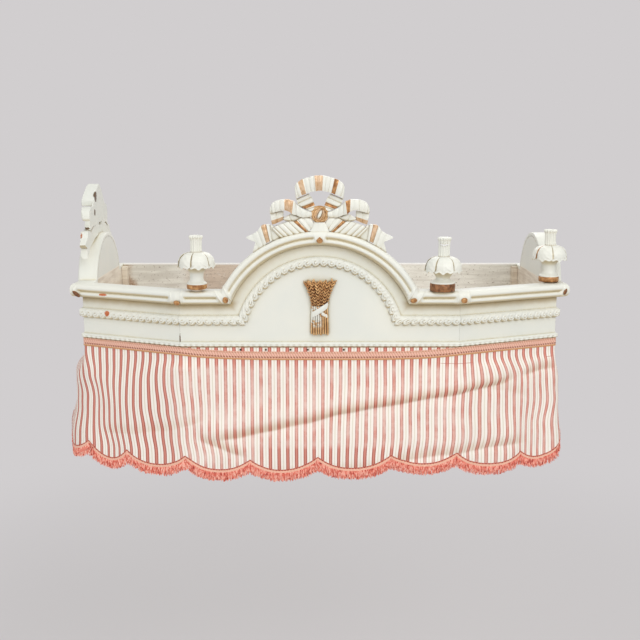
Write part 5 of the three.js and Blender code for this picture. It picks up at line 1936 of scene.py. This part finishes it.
def gimpBraid(name):
    shader, _ = newMaterial(name, gimp["roughness"])
    threads = uvMap("threads")
    x, y, _ = partsOf(threads)
    wave = braidWave(x, y, gimp["dash"], gimp["dashLean"])
    twill = braidWave(x, y, gimp["twillPitch"], gimp["twillLean"])
    dash = ramp(wave, 0.3, -0.3, 0.2, 1.0)
    dash = times(dash, rowMask(y, (0.2, 0.27), (0.46, 0.39)))
    topDash = ramp(wave, -0.1, 0.5, 0.2, 0.8)
    topDash = times(topDash, rowMask(y, (0.78, 0.83), (0.97, 0.92)))
    tone = ramp(noisy(threads, gimp["patches"]), 0.3, 0.7)
    base = mixColour(times(tone, 0.4), gimp["salmon"], gimp["paleSalmon"])
    base = mixColour(ramp(twill, 0.3, -0.5, 0.0, 0.55), base, gimp["twill"])
    base = mixColour(topDash, base, gimp["topDash"])
    base = mixColour(dash, base, gimp["dark"])
    base = mixColour(ramp(y, 0.19, 0.15), base, gimp["cord"])
    return finishPaint(shader, base, braidWave(x, y, gimp["ribPitch"]), 0.3, gimp["ribHeight"], sheen=0.2)


# Brush fringe: a cord line, a woven heading and cut yarn, along the scallops

fringe = {
    "heading": 10, "core": 10, "rise": 2, "headingThickness": 2.2, "headingStep": 3, "rows": 10,
    "rib": (0.7, 0.96, 0.045),
    "twist": (0.3, 0.68, 0.2), "twistPitch": 3.4, "slopeStep": 2, "yarn": 22.5, "yarnRise": 3.5,
    "tuftStep": 2.6,
    "tuftReach": 4, "strands": 8, "strandRadius": 1.0, "strandOut": 2.2, "strandBend": 2.5, "roughness": 0.9,
    "coral": (0.82, 0.22, 0.15, 1), "pale": (0.98, 0.56, 0.45, 1), "deep": (0.46, 0.04, 0.03, 1),
    "drawnOut": (1, 1, 0.35), "tones": 300.0, "threads": 1500.0, "threadHeight": 0.0004,
}
headingBraid = {
    "light": (0.92, 0.60, 0.46, 1), "shade": (0.80, 0.38, 0.26, 1), "cord": (0.62, 0.17, 0.10, 1),
    "dashes": (0.36, 0.04, 0.03, 1), "dashPitch": 7.5, "patches": 210.0, "threads": 900.0,
    "threadHeight": 0.0004, "roughness": 0.8,
}


def hemSlope(s):
    step = fringe["slopeStep"]
    return (hemDrop(s + step) - hemDrop(s - step)) / (2 * step)


def runAlong(s):
    run, _ = planPoint(s)
    return run["along"].to_3d()


def makeHeading():
    columns = round(2 * sideEnd / fringe["headingStep"])
    rows = fringe["rows"]
    height = fringe["heading"] + fringe["core"]

    def ringAt(share):
        s = mix(-sideEnd, sideEnd, share)
        low = hemDrop(s)
        lean = atan(hemSlope(s)) * 0.5
        ring = []
        for side in (1, -1):
            for row in range(rows + 1):
                v = row / rows if side > 0 else 1 - row / rows
                twist = sin(2 * pi * (s / fringe["twistPitch"] + v * 2))
                relief = raised([fringe["rib"]], v) + twist * raised([fringe["twist"]], v)
                out = side * (fringe["headingThickness"] / 2 + max(relief, 0)) - cloth["thickness"] / 2
                beside = -sin(lean) * (1 - v) * height
                spot = threadSpot(s, low, out, height * (1 - v) - fringe["rise"])
                ring.append(spot + runAlong(s) * (beside * mm))
        return ring

    band = shapedTube(columns, ringAt)
    layer = band.data.uv_layers.active
    layer.name = "threads"
    count = 2 * (rows + 1)
    for loop in layer.data:
        spot = loop.uv.y * count / rows
        share = spot if spot <= 1 else max(2 + 1 / rows - spot, 0)
        loop.uv = (loop.uv.x * 2 * sideEnd * mm, share)
    braid = wovenHeading("fringe_heading_braid")
    return finished(band, "fringe_heading", [braid], ["fringe"], angle=70)


def wovenHeading(name):
    shader, _ = newMaterial(name, headingBraid["roughness"])
    threads = uvMap("threads")
    x, y, _ = partsOf(threads)
    cord = ramp(y, 0.84, 0.87)
    dashes = times(ramp(braidWave(x, y, headingBraid["dashPitch"]), -0.2, 0.5), cord)
    tone = ramp(noisy(threads, headingBraid["patches"]), 0.4, 0.6)
    base = mixColour(tone, headingBraid["light"], headingBraid["shade"])
    base = mixColour(ramp(y, 0.6, 0.54), base, fringe["coral"])
    base = mixColour(cord, base, headingBraid["cord"])
    base = mixColour(dashes, base, headingBraid["dashes"])
    fine = noisy(threads, headingBraid["threads"], 2.0)
    return finishPaint(shader, base, fine, 0.4, headingBraid["threadHeight"], sheen=0.2)


def makeTuft():
    strands = []
    for index in range(fringe["strands"]):
        spread = (index / (fringe["strands"] - 1) - 0.5) * fringe["tuftStep"] * 1.4
        out = random.uniform(-fringe["strandOut"], fringe["strandOut"])
        bend = random.uniform(-fringe["strandBend"], fringe["strandBend"])
        length = fringe["yarn"] * random.uniform(0.86, 1.06)

        def ringAt(share):
            middle = Vector((spread + bend * share * share, out * (0.25 + share), -length * share))
            radius = fringe["strandRadius"] * (1 - 0.25 * share)
            return [(middle + around(2 * pi * step / 3 + index) * radius) * mm for step in range(3)]

        strands.append(shapedTube(3, ringAt))
    return joined(strands)


def makeYarn():
    tuft = makeTuft()
    count = round(2 * sideEnd / fringe["tuftStep"])
    matrices = []
    for index in range(count):
        s = mix(-sideEnd, sideEnd, (index + 0.5) / count)
        low = hemDrop(s)
        slope = atan(hemSlope(s)) * 0.55
        spot = threadSpot(s, low, 0, fringe["heading"] - fringe["yarnRise"])
        spot += runAlong(s) * (-sin(slope) * fringe["heading"] * mm)
        along = threadSpot(s + fringe["tuftReach"], low) - threadSpot(s - fringe["tuftReach"], low)
        along.z = 0
        along.normalize()
        outward = Vector((along.y, -along.x, 0))
        flip = random.choice((-1, 1))
        base = Matrix((along * flip, outward * flip, Vector((0, 0, 1)))).transposed().to_4x4()
        tilt = Matrix.Rotation(slope * flip + random.uniform(-0.12, 0.12), 4, "Y")
        puffed = Matrix.Diagonal((1, random.uniform(0.8, 1.25), random.uniform(0.88, 1.08), 1))
        matrices.append(Matrix.Translation(spot) @ base @ tilt @ puffed)
    yarn = repeated(tuft, matrices)
    return finished(yarn, "brush_yarn", [coralYarn("coral_yarn")], angle=70)


def coralYarn(name):
    shader, spot = newMaterial(name, fringe["roughness"])
    tone = noisy(stretched(spot, fringe["drawnOut"]), fringe["tones"], 2.0, 0.6)
    base = mixColour(ramp(tone, 0.47, 0.57), fringe["coral"], fringe["pale"])
    base = mixColour(ramp(tone, 0.42, 0.34), base, fringe["deep"])
    fine = noisy(spot, fringe["threads"], 2.0)
    return finishPaint(shader, base, fine, 0.5, fringe["threadHeight"], sheen=0.3)


# Tacks that hold the cloth's top edge to the front panel

tacks = {
    "along": (-200, -136, -74, -30, 61, 127), "drop": 151.5, "out": 1.7, "radius": 2.6, "rise": 1.9,
    "iron": (0.035, 0.028, 0.024, 1), "rust": (0.10, 0.05, 0.03, 1), "rustPatches": 500.0,
    "rustHeight": 0.0003, "roughness": 0.45, "metallic": 0.7,
}


def makeTacks():
    heads = []
    for s in tacks["along"]:
        deselectAll()
        spot = clothSpot(s, clothOut(s, tacks["drop"]) + tacks["out"], tacks["drop"])
        bpy.ops.mesh.primitive_uv_sphere_add(segments=16, ring_count=10, radius=tacks["radius"] * mm, location=spot)
        bpy.ops.transform.resize(value=(1, tacks["rise"] / tacks["radius"], 1))
        bpy.ops.object.transform_apply()
        heads.append(bpy.context.object)
    finished(joined(heads), "tack_heads", [darkIron("dark_tack")])


def darkIron(name):
    shader, spot = newMaterial(name, tacks["roughness"], tacks["metallic"])
    rust = ramp(noisy(spot, tacks["rustPatches"]), 0.4, 0.6)
    base = mixColour(rust, tacks["iron"], tacks["rust"])
    return finishPaint(shader, base, rust, 0.3, tacks["rustHeight"])


valance = makeValance()
gimpBand = makeGimp()
heading = makeHeading()
yarn = makeYarn()
makeTacks()
print("valance hung")

# Floor, background and light

stage = {
    "drop": 1.5, "radius": 16, "grey": (0.638, 0.617, 0.624, 1), "floor": (0.62, 0.60, 0.607, 1),
    "flatFrom": 0.8, "flatTo": 3.2, "light": (1.0, 0.997, 0.985, 1), "lightStrength": 0.70,
}


def makeStage():
    deselectAll()
    middle = (0, 0, -stage["drop"])
    bpy.ops.mesh.primitive_circle_add(vertices=96, radius=stage["radius"], fill_type="NGON", location=middle)
    ground = bpy.context.object
    ground.name = "pale_floor"
    material = bpy.data.materials.new("pale_floor")
    material.use_nodes = True
    material.node_tree.nodes.clear()
    opened["tree"] = material.node_tree
    away = vectorMath("LENGTH", addNode("ShaderNodeTexCoord").outputs["Object"])["Value"]
    seen = addNode("ShaderNodeLightPath")
    flat = times(ramp(away, stage["flatFrom"], stage["flatTo"]), seen.outputs["Is Camera Ray"])
    matte = addNode("ShaderNodeBsdfDiffuse", {"Color": stage["floor"]})
    glow = addNode("ShaderNodeEmission", {"Color": stage["grey"], "Strength": 1.0})
    shader = addNode("ShaderNodeMixShader", {0: flat, 1: matte.outputs[0], 2: glow.outputs[0]})
    addNode("ShaderNodeOutputMaterial", {"Surface": shader.outputs[0]})
    ground.data.materials.append(material)
    ground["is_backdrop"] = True


def makeWorld():
    world = bpy.data.worlds.new("studio")
    bpy.context.scene.world = world
    world.use_nodes = True
    world.node_tree.nodes.clear()
    opened["tree"] = world.node_tree
    seen = addNode("ShaderNodeLightPath")
    mirrorRay = mathNode("MAXIMUM", seen.outputs["Is Glossy Ray"], seen.outputs["Is Transmission Ray"])
    direct = mathNode("MAXIMUM", seen.outputs["Is Camera Ray"], mirrorRay)
    soft = addNode("ShaderNodeBackground", {"Color": stage["light"], "Strength": stage["lightStrength"]})
    shown = addNode("ShaderNodeBackground", {"Color": stage["grey"], "Strength": 1.0})
    shader = addNode("ShaderNodeMixShader", {0: direct, 1: soft.outputs[0], 2: shown.outputs[0]})
    addNode("ShaderNodeOutputWorld", {"Surface": shader.outputs[0]})


lamps = {
    "key": {"place": (1.3, -3.1, 1.5), "size": 2.0, "power": 42, "colour": (1, 0.993, 0.975)},
    "top": {"place": (0.4, -1.3, 2.8), "size": 1.6, "power": 10, "colour": (1, 0.99, 0.97)},
    "fill": {"place": (-2.2, -2.6, 0.6), "size": 2.4, "power": 17, "colour": (0.98, 0.99, 1)},
    "back": {"place": (0.4, 2.4, 1.8), "size": 1.8, "power": 23, "colour": (1, 1, 1)},
}


aim = Vector((0, -0.3, 0))


def makeLamps():
    for name, lamp in lamps.items():
        spot = Vector(lamp["place"])
        bpy.ops.object.light_add(type="AREA", location=spot)
        light = bpy.context.object
        light.name = name
        light.rotation_euler = (aim - spot).to_track_quat("-Z", "Y").to_euler()
        light.data.size = lamp["size"]
        light.data.energy = lamp["power"]
        light.data.color = lamp["colour"]


makeStage()
makeWorld()
makeLamps()
print("stage lit")

size = {"cad": [list(corner) for corner in cadBox], "visual": [list(corner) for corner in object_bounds()]}
